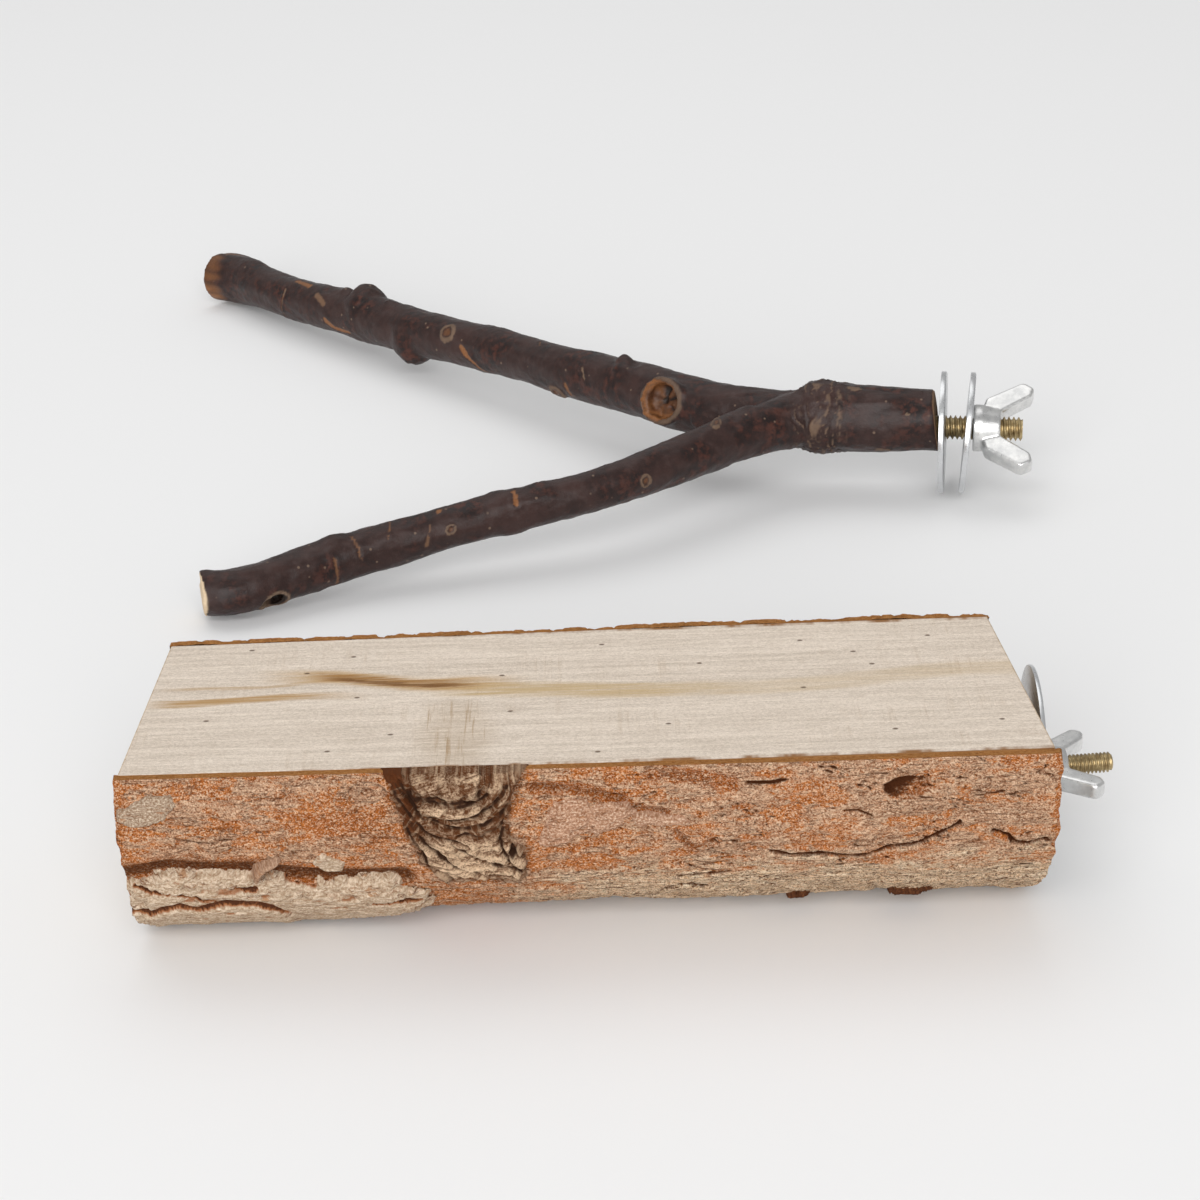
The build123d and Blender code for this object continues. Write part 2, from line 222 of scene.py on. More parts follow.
# the three saw cuts: flat top, left end, right end
for point, facing in (
    ((0, 0, log_height), (0, 0, 1)),
    ((-half_length, 0, 0), (-1, left_slope, 0)),
    ((half_length, 0, 0), (1, right_slope, 0)),
):
    everything = core.verts[:] + core.edges[:] + core.faces[:]
    bmesh.ops.bisect_plane(core, geom=everything, plane_co=point, plane_no=facing, clear_outer=True)
    bmesh.ops.holes_fill(core, edges=[edge for edge in core.edges if edge.is_boundary])
bmesh.ops.recalc_face_normals(core, faces=core.faces[:])
arrises = [edge for edge in core.edges if edge.calc_face_angle(0) > 0.6]
bmesh.ops.bevel(
    core, geom=arrises, offset=0.28, offset_type="OFFSET", segments=2, profile=0.5, affect="EDGES",
    material=-1,
)
set_on_log(core)
for face in core.faces:
    face.smooth = len(face.verts) == 4

sawn_wood, wood_shader, tone = new_finish("sawn_wood", roughness=0.72, specular=0.25)
place = tone.place()
place = place.node("VectorMath", {"operation": "SUBTRACT"}, {0: place, 1: tuple(log_foot / mm)})
along, across, rise = place.parts()
wander = place.noise((0.02, 0.06, 0.06), 2.0)
pith_height = 27
pith = (across * across + (rise - pith_height) * (rise - pith_height)) ** 0.5
rings = (pith + wander * 5) * 0.42
ring_lines = rings.node("Math", {"operation": "FRACT"}, {0: rings}).step(0.35, 0.95)
fibres = place.noise((0.10, 1.3, 1.3), 4.0, 0.65).full()
long_fibres = place.noise((0.014, 0.45, 0.45), 3.0, 0.5).full()
fuzz = place.noise((1.8, 3.0, 3.0), 4.0, 0.75).step(0.36, 0.64)
flecks = place.noise((0.35, 2.6, 2.6), 2.0, 0.5).step(0.64, 0.74)
shade = ring_lines * 0.08 + fibres * 0.26 + long_fibres * 0.18 + fuzz * 0.48
cream = shade.mixed((0.86, 0.755, 0.645, 1), (0.51, 0.42, 0.335, 1))
cream = coated(cream, (flecks * 0.35, (0.50, 0.37, 0.26, 1)))
# brown heart streaks along the sawn face: a jagged dark one, thin lines beside it and a wide pale band
jag = place.noise((0.22, 1.9, 1.9), 4.0, 0.7) - 0.5
soft_wave = place.noise((0.05, 0.25, 0.25), 3.0) - 0.5
streak_grain = place.noise((0.05, 1.1, 1.1), 4.0, 0.65).step(0.30, 0.62)
heart = across - 11.6 + along.step(-58, -28) * 5.2
heart_ends = along.step(-58, -48) * along.step(-18, -30)
golden_line = across - 1.2 - along.step(-82, -54) * 1.8 + along.step(-52, -34) * 2.6
thin_line = across - 7.4 - along.step(-64, -54) * 1.4
pale_band = across - 3.6 + along.step(-22, 14) * 3.0 - along.step(38, 80) * 5.4
band_ends = along.step(-34, -20) * (0.45 + 0.55 * along.step(40, 5))
halo_ends = along.step(-70, -50) * along.step(-8, -26)
golden_ends = along.step(-90, -80) * along.step(-40, -60)
thin_ends = along.step(-88, -78) * along.step(-50, -58)
# way off the line, half width, ends, strength, colour
for off_line, width, ends, strength, colour in (
    (pale_band + soft_wave * 3, 4.2, band_ends, 0.85, (0.52, 0.365, 0.175, 1)),
    (heart + soft_wave * 3, 4.0, halo_ends, 0.85, (0.52, 0.33, 0.145, 1)),
    (golden_line + soft_wave * 2, 2.0, golden_ends, 0.95, (0.45, 0.265, 0.10, 1)),
    (thin_line + soft_wave * 2, 0.9, thin_ends, 0.6, (0.47, 0.30, 0.14, 1)),
    (heart + jag * 3.4, 2.5, heart_ends, 1.0, (0.33, 0.165, 0.048, 1)),
    (heart + 0.7 + jag * 3.4, 1.0, heart_ends * along.step(-54, -46), 0.9, (0.18, 0.08, 0.024, 1)),
):
    inside = abs(off_line).step(width, width * 0.45)
    cream = (inside * ends * (0.4 + streak_grain * 0.6) * strength).mixed(cream, colour)
# marks of the saw, a dull stain by the knot, pin holes with painted shade in them, and the brown inner bark that
# the edge shows
teeth = place.noise((1.15, 0.04, 0.04), 3.0, 0.65).step(0.5, 0.72)
from_knot, from_edge = along + 25, across + 16
knot_shade = (from_edge * from_edge * 0.6 + from_knot * from_knot * 2.2).step(190, 20)
tooth_patch = place.noise((0.05, 0.08, 0.08), 2.0).step(0.5, 0.68)
pin_place = place.stretched(0.036, 0.052, 0.0)
pins = place.node("TexVoronoi", {"voronoi_dimensions": "2D"}, {"Vector": pin_place, "Scale": 1.0})
holes = pins.step(0.026, 0.012)
edge_wave = place.noise((0.09, 0.0, 0.0), 4.0, 0.6)
top_rise = log_height - log_radius + log_bed
half_width = ((log_radius - bark_depth) ** 2 - top_rise**2) ** 0.5
ragged_edge = abs(across).step(half_width - 1.5, half_width - 0.5) * edge_wave.step(0.42, 0.60)
inner_bark = abs(across).step(half_width - 0.1, half_width + 0.25) + ragged_edge
inner_bark = inner_bark.sum_of("MINIMUM", inner_bark, 1.0)
# the cut ends are end grain: darker, with the rings plain to see
right_end = (along + across * right_slope).step(half_length - 0.5, half_length - 0.1)
left_end = (along - across * left_slope).step(-half_length + 0.5, -half_length + 0.1)
end_grain = right_end + left_end
end_colour = (ring_lines * 0.75 + fibres * 0.25).mixed((0.62, 0.49, 0.35, 1), (0.42, 0.28, 0.165, 1))
cream = coated(
    cream,
    (knot_shade * (0.22 + fibres * 0.25), (0.46, 0.35, 0.24, 1)),
    (teeth * (tooth_patch * 0.22 + knot_shade), (0.38, 0.245, 0.125, 1)),
    (holes * 0.85, (0.12, 0.07, 0.04, 1)),
    (inner_bark * rise.step(40.9, 41.5), (0.27, 0.125, 0.042, 1)),
    (end_grain, end_colour),
)
link(wood_shader, "Base Color", cream)
relief = fibres * 0.4 + fuzz * 0.5 + teeth * (tooth_patch * 0.4 + knot_shade) - holes * 2.0
link_relief(wood_shader, relief, 0.5, 0.0002)
finished_piece("log_sawn_wood", core, sawn_wood, "log_core", "log_perch")

# Bark of the log: a layer that flakes in thin scales along the grain, rust orange where scales have
# gone and pinkish grey where they hold. It is sawn flat with the wood at the top and at both ends.
# A place on it is x along the log and s round it, down from the front edge of the sawn face.
bark_columns, bark_rows = 430, 215
front_reach, front_rows = 47.0, 0.60
# cracks and grooves: half width, depth, strength of the painted shade in them, line of places
bark_cracks = (
    (0.85, 1.4, 1.0, (
        (35.7, 19.4), (39.2, 20.6), (44.7, 20.8), (50.3, 22.0), (53.1, 22.4), (58.6, 19.9), (64.1, 19.2),
        (68.1, 16.5), (71.8, 13.9))),
    (0.8, 1.3, 1.0, ((78.2, 16.4), (81.0, 17.5), (82.2, 19.5), (85.0, 20.0), (88.7, 18.8))),
    (0.6, 0.8, 0.9, ((30.9, 3.9), (35.0, 3.7), (38.1, 3.2))),
    (0.5, 0.7, 0.8, ((49.4, 10.2), (52.1, 10.3), (54.5, 11.6))),
    (0.65, 1.0, 1.0, ((17.7, 27.8), (22.6, 27.3), (27.5, 26.1))),
    (0.7, 1.1, 1.0, ((14.4, 33.2), (19.1, 31.4), (24.4, 32.8))),
    (0.3, 0.5, 0.8, ((19.7, 23.6), (24.3, 23.5))),
    (0.3, 0.5, 0.7, ((23.9, 16.9), (29.4, 16.2))),
    (0.3, 0.5, 0.7, ((74.0, 8.2), (79.0, 7.5), (83.0, 8.4))),
    (0.3, 0.5, 0.7, ((-79.0, 12.2), (-73.5, 12.9), (-68.0, 12.4))),
    (3.8, 1.4, 0.58, (
        (-90.0, 22.6), (-86.6, 21.4), (-80.5, 19.4), (-71.1, 21.0), (-64.8, 22.0), (-54.5, 23.2),
        (-45.6, 24.4), (-35.8, 25.0))),
    (1.5, 1.1, 0.42, ((-9.5, 3.4), (-5.7, 4.1), (-1.9, 4.4), (2.8, 5.6), (7.0, 7.3))),
    (1.2, 1.0, 0.42, ((8.1, 8.7), (11.3, 9.4), (15.7, 10.0))),
    (2.0, 0.8, 0.2, ((12.5, 1.5), (20.0, 2.4), (28.2, 4.3))),
    (1.1, 0.6, 0.4, ((17.7, 14.5), (20.4, 19.0), (23.9, 16.5))),
)
# hollows and swellings: x, s, half length, half height, lift
bark_hollows = (
    (61.0, 5.9, 5.4, 2.6, -1.75),
    (-70.0, 8.0, 14.0, 7.0, 0.5),
    (-8.5, 11.0, 3.5, 7.0, 0.5),
    (4.0, 2.4, 9.0, 1.6, 0.5),
    (45.0, 14.0, 22.0, 5.0, 0.4),
    (70.0, 26.0, 16.0, 6.0, 0.4),
)
# thin grey scales that still hold on the rust-coloured left: x, s, half length, half height
held_scales = (
    (-62.0, 2.4, 5.0, 1.5), (-51.5, 2.4, 5.0, 1.3), (-72.5, 6.4, 8.5, 2.2), (-61.5, 9.6, 6.0, 1.4),
    (-49.0, 13.8, 7.0, 1.6), (-80.0, 14.4, 10.5, 4.2), (-66.0, 16.0, 8.0, 1.8), (-58.0, 5.6, 6.5, 1.0),
)
knot_outline = (
    (-38.6, -2.0), (-37.4, 3.5), (-36.0, 7.5), (-35.2, 11.8), (-33.6, 16.5), (-31.0, 21.5), (-27.8, 25.4),
    (-21.0, 25.2), (-13.2, 26.4), (-11.5, 21.0), (-11.0, 17.0), (-14.2, 13.4), (-14.8, 10.0),
    (-13.0, 6.0), (-11.0, -2.0),
)


def line_distance(x, s, line):
    """Distance from a place on the bark to a line of places."""
    nearest = 1e9
    for (x0, s0), (x1, s1) in zip(line, line[1:]):
        run, drop = x1 - x0, s1 - s0
        share = max(0.0, min(1.0, ((x - x0) * run + (s - s0) * drop) / (run * run + drop * drop)))
        nearest = min(nearest, math.hypot(x - x0 - share * run, s - s0 - share * drop))
    return nearest


def inside_of(x, s, outline):
    """Distance of a place in from a closed outline; less than 0 outside it."""
    crossings = 0
    for (x0, s0), (x1, s1) in zip(outline, outline[1:] + outline[:1]):
        if (s0 > s) != (s1 > s) and x < x0 + (s - s0) * (x1 - x0) / (s1 - s0):
            crossings += 1
    return line_distance(x, s, outline + outline[:1]) * (1 if crossings % 2 else -1)


def ease(start, end, value):
    """0 before start, 1 after end and smooth between them."""
    share = max(0.0, min(1.0, (value - start) / (end - start)))
    return share * share * (3 - 2 * share)


def near(value, middle, reach, flat=0.0):
    """1 within flat of the middle, 0 beyond the reach and smooth between them."""
    return ease(reach, flat, abs(value - middle))


def blend(first, second, share):
    """From the first, at 0, to the second, at 1."""
    return first * (1 - share) + share * second


def oval(x, s, x0, s0, half_x, half_s):
    """Distance from the middle of an oval, with 1 on its rim."""
    return math.hypot((x - x0) / half_x, (s - s0) / half_s)


def soft(x, y, z):
    """Smooth noise at three numbers."""
    return noise.noise(Vector((x, y, z)))


def rumple(x, y, z, fading, gap, octaves):
    """Noise in several sizes at three numbers."""
    return noise.fractal(Vector((x, y, z)), fading, gap, octaves)


def on_bark(x, s, lift):
    """Point of the log's round at a place on the bark, lifted over it."""
    girth = log_girth(x)
    angle = math.asin((log_height - girth + log_bed) / girth) - s / girth
    radius = girth + lift
    return Vector((x, -radius * math.cos(angle), max(0.0, girth - log_bed + radius * math.sin(angle))))


def knot_inside(x, s):
    """Depth of a place inside the knot's ragged outline."""
    return inside_of(x, s, knot_outline) + 0.9 * rumple(x * 0.35, s * 0.35, 6.6, 0.9, 2.0, 3)


def bark_relief(x, s):
    """Lift of the bark over its mean round, with its pink, rust, painted shade and cream shares."""
    here = Vector((x, s, 3.7))
    drift = noise.noise_vector(here * 0.11)
    # broad swelling, thin scales with gaps between them, and fine seams along the grain, with painted shade in the
    # gaps and seams
    swell = rumple(x * 0.035, s * 0.055, 9.1, 1.0, 2.0, 3)
    gaps, seeds = noise.voronoi(Vector((x / 11 + drift.x * 0.8, s / 3.8 + drift.y * 0.8, 0.4)))
    scale_edge = ease(0.0, 0.16, gaps[1] - gaps[0])
    scale_lift = noise.cell(seeds[0] * 7.3)
    flaking = rumple(x * 0.16 + drift.x, s * 0.62, 2.2, 0.8, 2.1, 4)
    threads = soft(x * 0.30, s * 1.9 + drift.y * 2, 5.5)
    grit = noise.noise(here * 1.7)
    seam = soft(x * 0.085 + 40, s * 0.55 + drift.y * 0.8, 1.3)
    seam_field = noise.noise(here * 0.09 + Vector((8, 3, 1))) + 0.1
    seam_line = near(seam, 0.0, 0.05) * ease(0.0, 0.35, seam_field)
    right_share = ease(-12.0, 25.0, x)
    seam_line *= 0.25 + 0.75 * right_share
    lift = 0.42 * swell + 0.34 * flaking + 0.26 * (scale_lift - 0.2) + 0.14 * threads + 0.17 * grit
    lift -= 0.2 * (1 - scale_edge) + 0.5 * seam_line
    pink = 0.36 + 0.30 * right_share + 0.5 * flaking + 0.16 * scale_lift
    # scales that still hold stand out with a broken edge of painted shade, and a field left of the knot is bare
    # rust
    edge_shade = 0.0
    for x0, s0, half_x, half_s in held_scales:
        reach = oval(x, s, x0, s0, half_x, half_s) + 0.35 * flaking + 0.2 * drift.z
        if reach < 1.2:
            pink += 0.42 * ease(1.2, 0.5, reach)
            lift += 0.4 * ease(1.12, 1.0, reach)
            edge_shade = max(edge_shade, 0.42 * near(reach, 1.1, 0.1) * ease(-0.3, 0.3, threads + 0.2))
    rust_field = ease(1.0, 0.35, oval(x, s, -45, 11, 13, 7))
    pink -= 0.28 * rust_field
    rust = 0.30 + 0.5 * rust_field - 0.4 * flaking - 0.18 * right_share
    dark_and_shade = 0.30 * (1 - scale_edge) * ease(0.1, 0.5, -flaking + 0.1) + 0.8 * seam_line
    dark_and_shade = max(dark_and_shade, edge_shade)
    cream = ease(16.0, 34.0, s + 5.0 * flaking) * ease(-34.0, 20.0, x) * ease(75.0, 50.0, s)
    # cracks with a raised lip, and wide grooves with rust in them; both get painted shade in them
    for width, depth, crack_shade, line in bark_cracks:
        if line[0][0] - 5 < x < line[-1][0] + 5:
            wobble = min(1.0, width)
            waver = 0.5 * drift.y + 0.3 * threads + 0.2 * grit
            off = line_distance(x + 0.8 * drift.x * wobble, s + waver * wobble, line)
            fill = ease(width, width * 0.15, off)
            lift -= depth * fill - 0.3 * ease(2.6, 0.8, off) * ease(1.4, 0.6, width)
            dark_and_shade = max(dark_and_shade, crack_shade * fill)
            if width > 1:
                rust += 0.8 * ease(width * 1.5, width * 0.5, off)
                pink -= 0.5 * fill
    # swellings, and the one hole, painted dark as shade, with painted light on the lower right of its floor
    for x0, s0, half_x, half_s, height in bark_hollows:
        reach = oval(x, s, x0, s0, half_x, half_s) + 0.18 * drift.z
        if reach < 1:
            lift += height * ease(1.0, 0.45, reach)
            if height < 0:
                fill = ease(1.0, 0.7, reach)
                floor_light = ease(-3.5, 3.5, x - x0 + 1.4 * (s - s0))
                dark_and_shade = max(dark_and_shade, fill * (0.95 - 0.7 * floor_light + 0.3 * grit))
                rust += fill
    # the ringed scar of a twig left of the knot, with painted shade in its troughs
    ring = oval(x, s, -41.6, 3.9, 4.1, 2.4) + 0.08 * drift.x
    if ring < 1.25:
        ripple = math.cos(ring * 11.0)
        lift += 0.4 * ripple * ease(1.25, 0.9, ring)
        pink = max(pink, 0.75 * ease(1.15, 0.9, ring))
        dark_and_shade = max(dark_and_shade, 0.5 * ease(-0.5, -0.95, ripple) * ease(1.25, 1.1, ring))
    lift = max(-1.5, lift) * (ease(0.0, 1.2, s) * 0.8 + 0.2)
    return lift, [max(0.0, min(1.0, share)) for share in (pink, rust, dark_and_shade, cream)]


bark = bmesh.new()
bmesh.ops.create_grid(bark, x_segments=bark_columns, y_segments=bark_rows, size=1.0)
bark_mask = bark.verts.layers.float_color.new("bark_mask")
bark_cloth = bark.verts.layers.float_vector.new("bark_place")
for vert in bark.verts:
    column, row = (vert.co.x + 1) / 2, (vert.co.y + 1) / 2
    girth = log_girth((column * 2 - 1) * half_length)
    top_angle = math.asin((log_height - girth + log_bed) / girth)
    whole = girth * (math.pi + 2 * top_angle)
    if row < front_rows:
        s = front_reach * row / front_rows
    else:
        s = front_reach + (whole - front_reach) * (row - front_rows) / (1 - front_rows)
    chips = rumple(column * 40, 4.0, 1.0, 0.7, 2.0, 5)
    if row > 0.8:
        s -= 0.6 * ease(-0.1, 0.8, chips) * ease(0.93, 1.0, row)
    angle = top_angle - s / girth
    fraying = 0.5 + 0.5 * rumple(s * 0.22, 8.0, column * 3, 0.9, 2.0, 4)
    mean_y = -girth * math.cos(angle)
    left = -half_length + mean_y * left_slope - fraying
    right = half_length - mean_y * right_slope + fraying
    x = left + (right - left) * column
    lift, shares = bark_relief(x, s)
    if -45 < x < -5 and s < 33:
        into_knot = knot_inside(x, s)
        lift += 0.5 * ease(-5.0, -0.8, into_knot) * ease(0.0, 1.5, s)
        lift -= 3.0 * ease(1.0, 2.4, into_knot)
        # painted shade along the knot's rim, where the bark dips under it
        shares[2] = max(shares[2], 0.45 * ease(-1.2, 0.3, into_knot))
    frayed_end = ease(1.6, 0.0, min(x - left, right - x))
    radius = girth + lift - 0.35 * frayed_end
    vert.co = Vector((x, -radius * math.cos(angle), girth - log_bed + radius * math.sin(angle)))
    vert.co.z = max(0.0, min(vert.co.z, log_height + 0.12 * chips))
    vert[bark_mask] = (shares[0] * (1 - frayed_end), max(shares[1], frayed_end), shares[2], shares[3])
    vert[bark_cloth] = (x, s, lift)
# the sawn rim: brown inner bark, from the outer edge in to the wood
for depth_share in (0.06, 1.0):
    rim_edges = [edge for edge in bark.edges if edge.is_boundary]
    for edge in rim_edges:
        edge.smooth = False
    inward = bmesh.ops.extrude_edge_only(bark, edges=rim_edges)
    for vert in (v for v in inward["geom"] if isinstance(v, bmesh.types.BMVert)):
        girth = log_girth(vert.co.x)
        spoke = Vector((0, vert.co.y, vert.co.z - girth + log_bed))
        if vert.co.z > log_height - 2.2:
            vert.co.y *= 1 - depth_share * bark_depth / abs(vert.co.y)
            vert.co.z += (log_height - 0.06 - vert.co.z) * depth_share
        else:
            vert.co -= spoke.normalized() * (spoke.length - girth + bark_depth) * depth_share
        vert[bark_mask] = (0.0, 0.0, 0.0, -1.0)
        vert[bark_cloth] = vert[bark_cloth] - Vector((0, bark_depth * depth_share, 0))
bmesh.ops.recalc_face_normals(bark, faces=bark.faces[:])
set_on_log(bark)

log_bark, bark_shader, tone = new_finish("log_bark", roughness=0.9, specular=0.03)
pink_share, rust_share, dark_and_shade_share = tone.layer("bark_mask").parts()
cream_share = tone.layer("bark_mask", 3)
spread = tone.layer("bark_place", 1)
grain = spread.noise((0.5, 1.9, 1.0), 5.0, 0.65).full()
fuzz = spread.noise((1.1, 1.8, 1.0), 4.0, 0.75).step(0.32, 0.68)
sand = spread.noise((3.2, 3.8, 1.0), 3.0, 0.7).full()
blotches = spread.noise((0.11, 0.26, 1.0), 6.0, 0.62, 0.6).step(0.36, 0.64)
crumbs = spread.stretched(3.2, 3.7, 1.0).cells(1.0, 1).parts()[0]
hair = spread.noise((0.16, 1.5, 1.0), 3.0, 0.6, 0.8)
rust = grain.mixed((0.40, 0.105, 0.018, 1), (0.64, 0.215, 0.05, 1))
scales = grain.mixed((0.46, 0.235, 0.13, 1), (0.72, 0.445, 0.28, 1))
tan = grain.mixed((0.74, 0.49, 0.29, 1), (0.92, 0.76, 0.55, 1))
held = pink_share + (fuzz - 0.5) * 0.3 + (blotches - 0.5) * 0.8
bare_rust = (rust_share + (fuzz - 0.5) * 0.3).step(0.4, 1.0)
tan_belly = ((cream_share + (fuzz - 0.5) * 0.3) * (0.6 + blotches * 0.7)).step(0.1, 0.7)
hair_field = blotches.step(0.4, 0.7) + cream_share.step(0.2, 0.8) * 0.8
hair_line = abs(hair - 0.5).step(0.028, 0.006) * hair_field
sawn_rim = fuzz.mixed((0.36, 0.14, 0.04, 1), (0.54, 0.26, 0.09, 1))
bark_colour = coated(
    rust,
    (held.step(0.26, 0.70), scales),
    (bare_rust * 0.8, (0.42, 0.115, 0.02, 1)),
    (tan_belly, tan),
    (crumbs.step(0.55, 1.0) * 0.7, (0.88, 0.64, 0.44, 1)),
    (crumbs.step(0.38, 0.0) * 0.72, (0.16, 0.042, 0.009, 1)),
    (sand.step(0.6, 1.0) * 0.4, (0.9, 0.66, 0.46, 1)),
    (sand.step(0.4, 0.0) * 0.55, (0.17, 0.045, 0.01, 1)),
    (hair_line * 0.75, (0.12, 0.042, 0.018, 1)),
    # painted shade in the gaps, seams, cracks and hollows and round the raised edges
    ((dark_and_shade_share + (fuzz - 0.5) * 0.2).step(0.12, 0.75), (0.075, 0.024, 0.009, 1)),
    (cream_share.step(-0.2, -0.8), sawn_rim),
)
link(bark_shader, "Base Color", bark_colour)
relief = sand * 0.4 + crumbs * 0.5 + fuzz * 0.5 + grain * 0.35 - hair_line * 0.6
link_relief(bark_shader, relief, 0.8, 0.0005)
finished_piece("log_bark_layer", bark, log_bark, "log_bark", "log_perch")

# Knot of the log: a dead side shoot that the tree grew over. A rough burl stands at the sawn edge with
# a pale tongue under it, thin folds of wood hang round it in a U, and a fan of torn strands runs down
# below. All of it is weathered wood, with its rim grown into the bark.
knot_columns, knot_rows = 132, 128
knot_middle, knot_reach = (-25.0, 14.0), (14.8, 14.0)
knot = bmesh.new()
bmesh.ops.create_grid(knot, x_segments=knot_columns, y_segments=knot_rows, size=1.0)
knot_mask = knot.verts.layers.float_color.new("knot_mask")
knot_cloth = knot.verts.layers.float_vector.new("knot_place")
burl_outline = (
    (-33.6, -2.0), (-33.4, 2.5), (-32.4, 4.6), (-28.4, 4.0), (-25.1, 5.3), (-21.2, 4.5), (-19.4, 2.2),
    (-20.0, -2.0),
)
# lines of painted shade between the folds: under the boss and the tongue, round the U, down the arms and the fan
fold_lines = (
    ((-32.9, 2.9), (-30.8, 5.4), (-28.1, 5.1), (-24.7, 6.0), (-20.7, 5.7), (-18.6, 4.3)),
    ((-30.6, 7.6), (-27.6, 8.7), (-24.2, 9.1), (-20.8, 8.7), (-18.0, 6.9), (-15.9, 4.4), (-14.8, 2.3)),
    ((-29.0, 9.2), (-26.3, 10.8), (-23.0, 11.7), (-19.6, 11.0), (-16.7, 8.8), (-14.2, 5.5), (-13.0, 2.7)),
    ((-24.4, 12.9), (-20.3, 13.2), (-17.6, 11.9), (-15.1, 9.2), (-13.2, 5.6), (-12.1, 2.7)),
    ((-36.8, 2.4), (-35.2, 5.6), (-33.0, 9.0), (-30.5, 11.9), (-27.2, 13.6), (-23.2, 15.0)),
    ((-35.1, 1.8), (-33.5, 5.0), (-31.6, 7.6)),
    ((-34.5, 11.3), (-32.4, 14.7), (-30.6, 18.9), (-27.4, 22.7), (-25.8, 25.2)),
    ((-32.5, 12.2), (-29.4, 16.1), (-25.5, 20.1), (-20.8, 23.0)),
    ((-25.9, 15.4), (-21.9, 17.8), (-18.0, 20.4), (-12.9, 22.8)),
    ((-15.8, 11.1), (-16.6, 14.0), (-16.1, 17.6), (-14.5, 21.1)),
)
bare = []
for vert in knot.verts:
    x, s = (middle + reach * k for middle, reach, k in zip(knot_middle, knot_reach, vert.co))
    inside = knot_inside(x, s)
    if inside < -0.9:
        bare.append(vert)
        continue
    # folds that lie round the burl, layer on layer, with broken creases of painted shade between them
    here = Vector((x, s, 1.9))
    drift = noise.noise_vector(here * 0.2)
    crumple = noise.fractal(here * 0.5, 0.9, 2.0, 4)
    rough = noise.fractal(here * 1.3, 0.9, 2.0, 3)
    into_burl = inside_of(x, s, burl_outline) + 0.5 * crumple
    out = 1.0 - into_burl + 1.1 * drift.x + 0.35 * crumple
    turn = math.atan2(x + 26.0, max(0.6, s - 1.0))
    layer = out / 1.2 + 0.55 * soft(turn * 1.9, 2.0, 4.4) + 0.25 * crumple
    fold = layer % 1.0
    bold = 0.4 + 0.6 * ease(-0.6, 0.4, noise.cell(Vector((math.floor(layer) * 3.1, 2.0, 0.0))))
    lift = 1.9 * ease(11.0, 0.5, out) + 0.25 * crumple + 0.18 * rough
    lift += 0.8 * bold * ease(1.0, 0.75, fold) * (0.25 + 0.75 * ease(0.0, 0.6, fold))
    broken = ease(-0.45, 0.05, soft(turn * 2.6, layer * 0.7, 8.0))
    crease = bold * ease(0.24, 0.02, min(fold, 1 - fold)) * broken
    pale = 0.10 + 0.5 * crumple + 0.2 * rough + 0.35 * ease(0.3, 0.9, fold)
    brown = 0.2 + 0.8 * ease(6.0, 9.5, out) * ease(13.0, 9.0, s)
    # torn strands, with painted shade between them: those of the left arm run steeply down, those of the fan sweep
    # round to the right
    for sweep, reach, share in (
        (14.0, 7.0, ease(-31.0, -33.5, x) * ease(13.5, 10.5, s)),
        (15.0, 16.0, ease(6.0, 9.0, out) * ease(10.5, 14.0, s)),
    ):
        if share > 0:
            strand_line = s - sweep * (1 - math.exp(-(x + 38.5) / reach)) + 0.8 * drift.y
            strand = rumple(strand_line * 0.72, (x + s) * 0.07, sweep, 0.7, 2.2, 5)
            bleached = 0.75 * ease(10.0, 16.0, s) - 0.12
            lift = blend(lift, 1.0 + 0.95 * strand + 0.15 * rough, share)
            crease = blend(crease, 0.85 * ease(0.2, 0.5, -strand), share)
            pale = blend(pale, bleached + 0.7 * strand + 0.2 * crumple, share)
            brown = blend(brown, 1.2 * ease(15.0, 9.0, s), share)
    # the pale tongue under the burl, with painted shade below its edge
    tongue = oval(x, s + 0.05 * (x + 25.6), -25.6, 7.0, 6.4, 1.7) + 0.35 * crumple
    tongue_share = ease(1.08, 0.85, tongue)
    lift = blend(lift, 2.7 + 0.4 * crumple - 0.16 * (s - 7.0), tongue_share)
    pale = blend(pale, 0.44 + 0.6 * crumple + 0.2 * rough, tongue_share)
    brown *= 1 - tongue_share
    crease = max(crease * (1 - tongue_share), 0.9 * near(tongue, 1.12, 0.16) * ease(5.0, 7.0, s))
    # the burl, with a round boss right of its middle and ledges left of it, and painted shade round the lower edge
    # of the boss and in the low parts of the ledges
    crown = ease(0.0, 0.7, into_burl)
    off_boss = oval(x, s, -23.6, 2.7, 4.4, 3.0)
    boss = ease(1.0, 0.35, off_boss)
    ledge = rumple(x * 0.12, s * 0.9 + 0.5 * drift.y, 7.7, 0.8, 2.1, 4)
    swelling = 0.7 + 2.0 * ease(-0.6, 2.6, s) + 1.0 * boss + 0.5 * ledge * (1 - boss)
    lift = blend(lift, swelling + 0.4 * crumple + 0.25 * rough, crown)
    pale = blend(pale, 0.28 + 0.5 * crumple + 0.2 * rough + 0.1 * boss, crown)
    boss_edge = near(off_boss, 0.95, 0.2) * ease(1.0, 2.5, s)
    ledge_edge = ease(0.25, 0.6, -ledge) * (1 - boss)
    crease = max(crease * (1 - crown), 0.8 * crown * boss_edge, 0.7 * crown * ledge_edge)
    brown *= 1 - 0.8 * crown
    shadow = near(into_burl, -0.4, 0.7, 0.1) * ease(2.0, 4.0, s)
    shadow *= ease(-0.5, 0.2, noise.noise(here * 0.45) + 0.15)
    lift -= 0.7 * shadow
    crease = max(0.75 * crease, shadow)
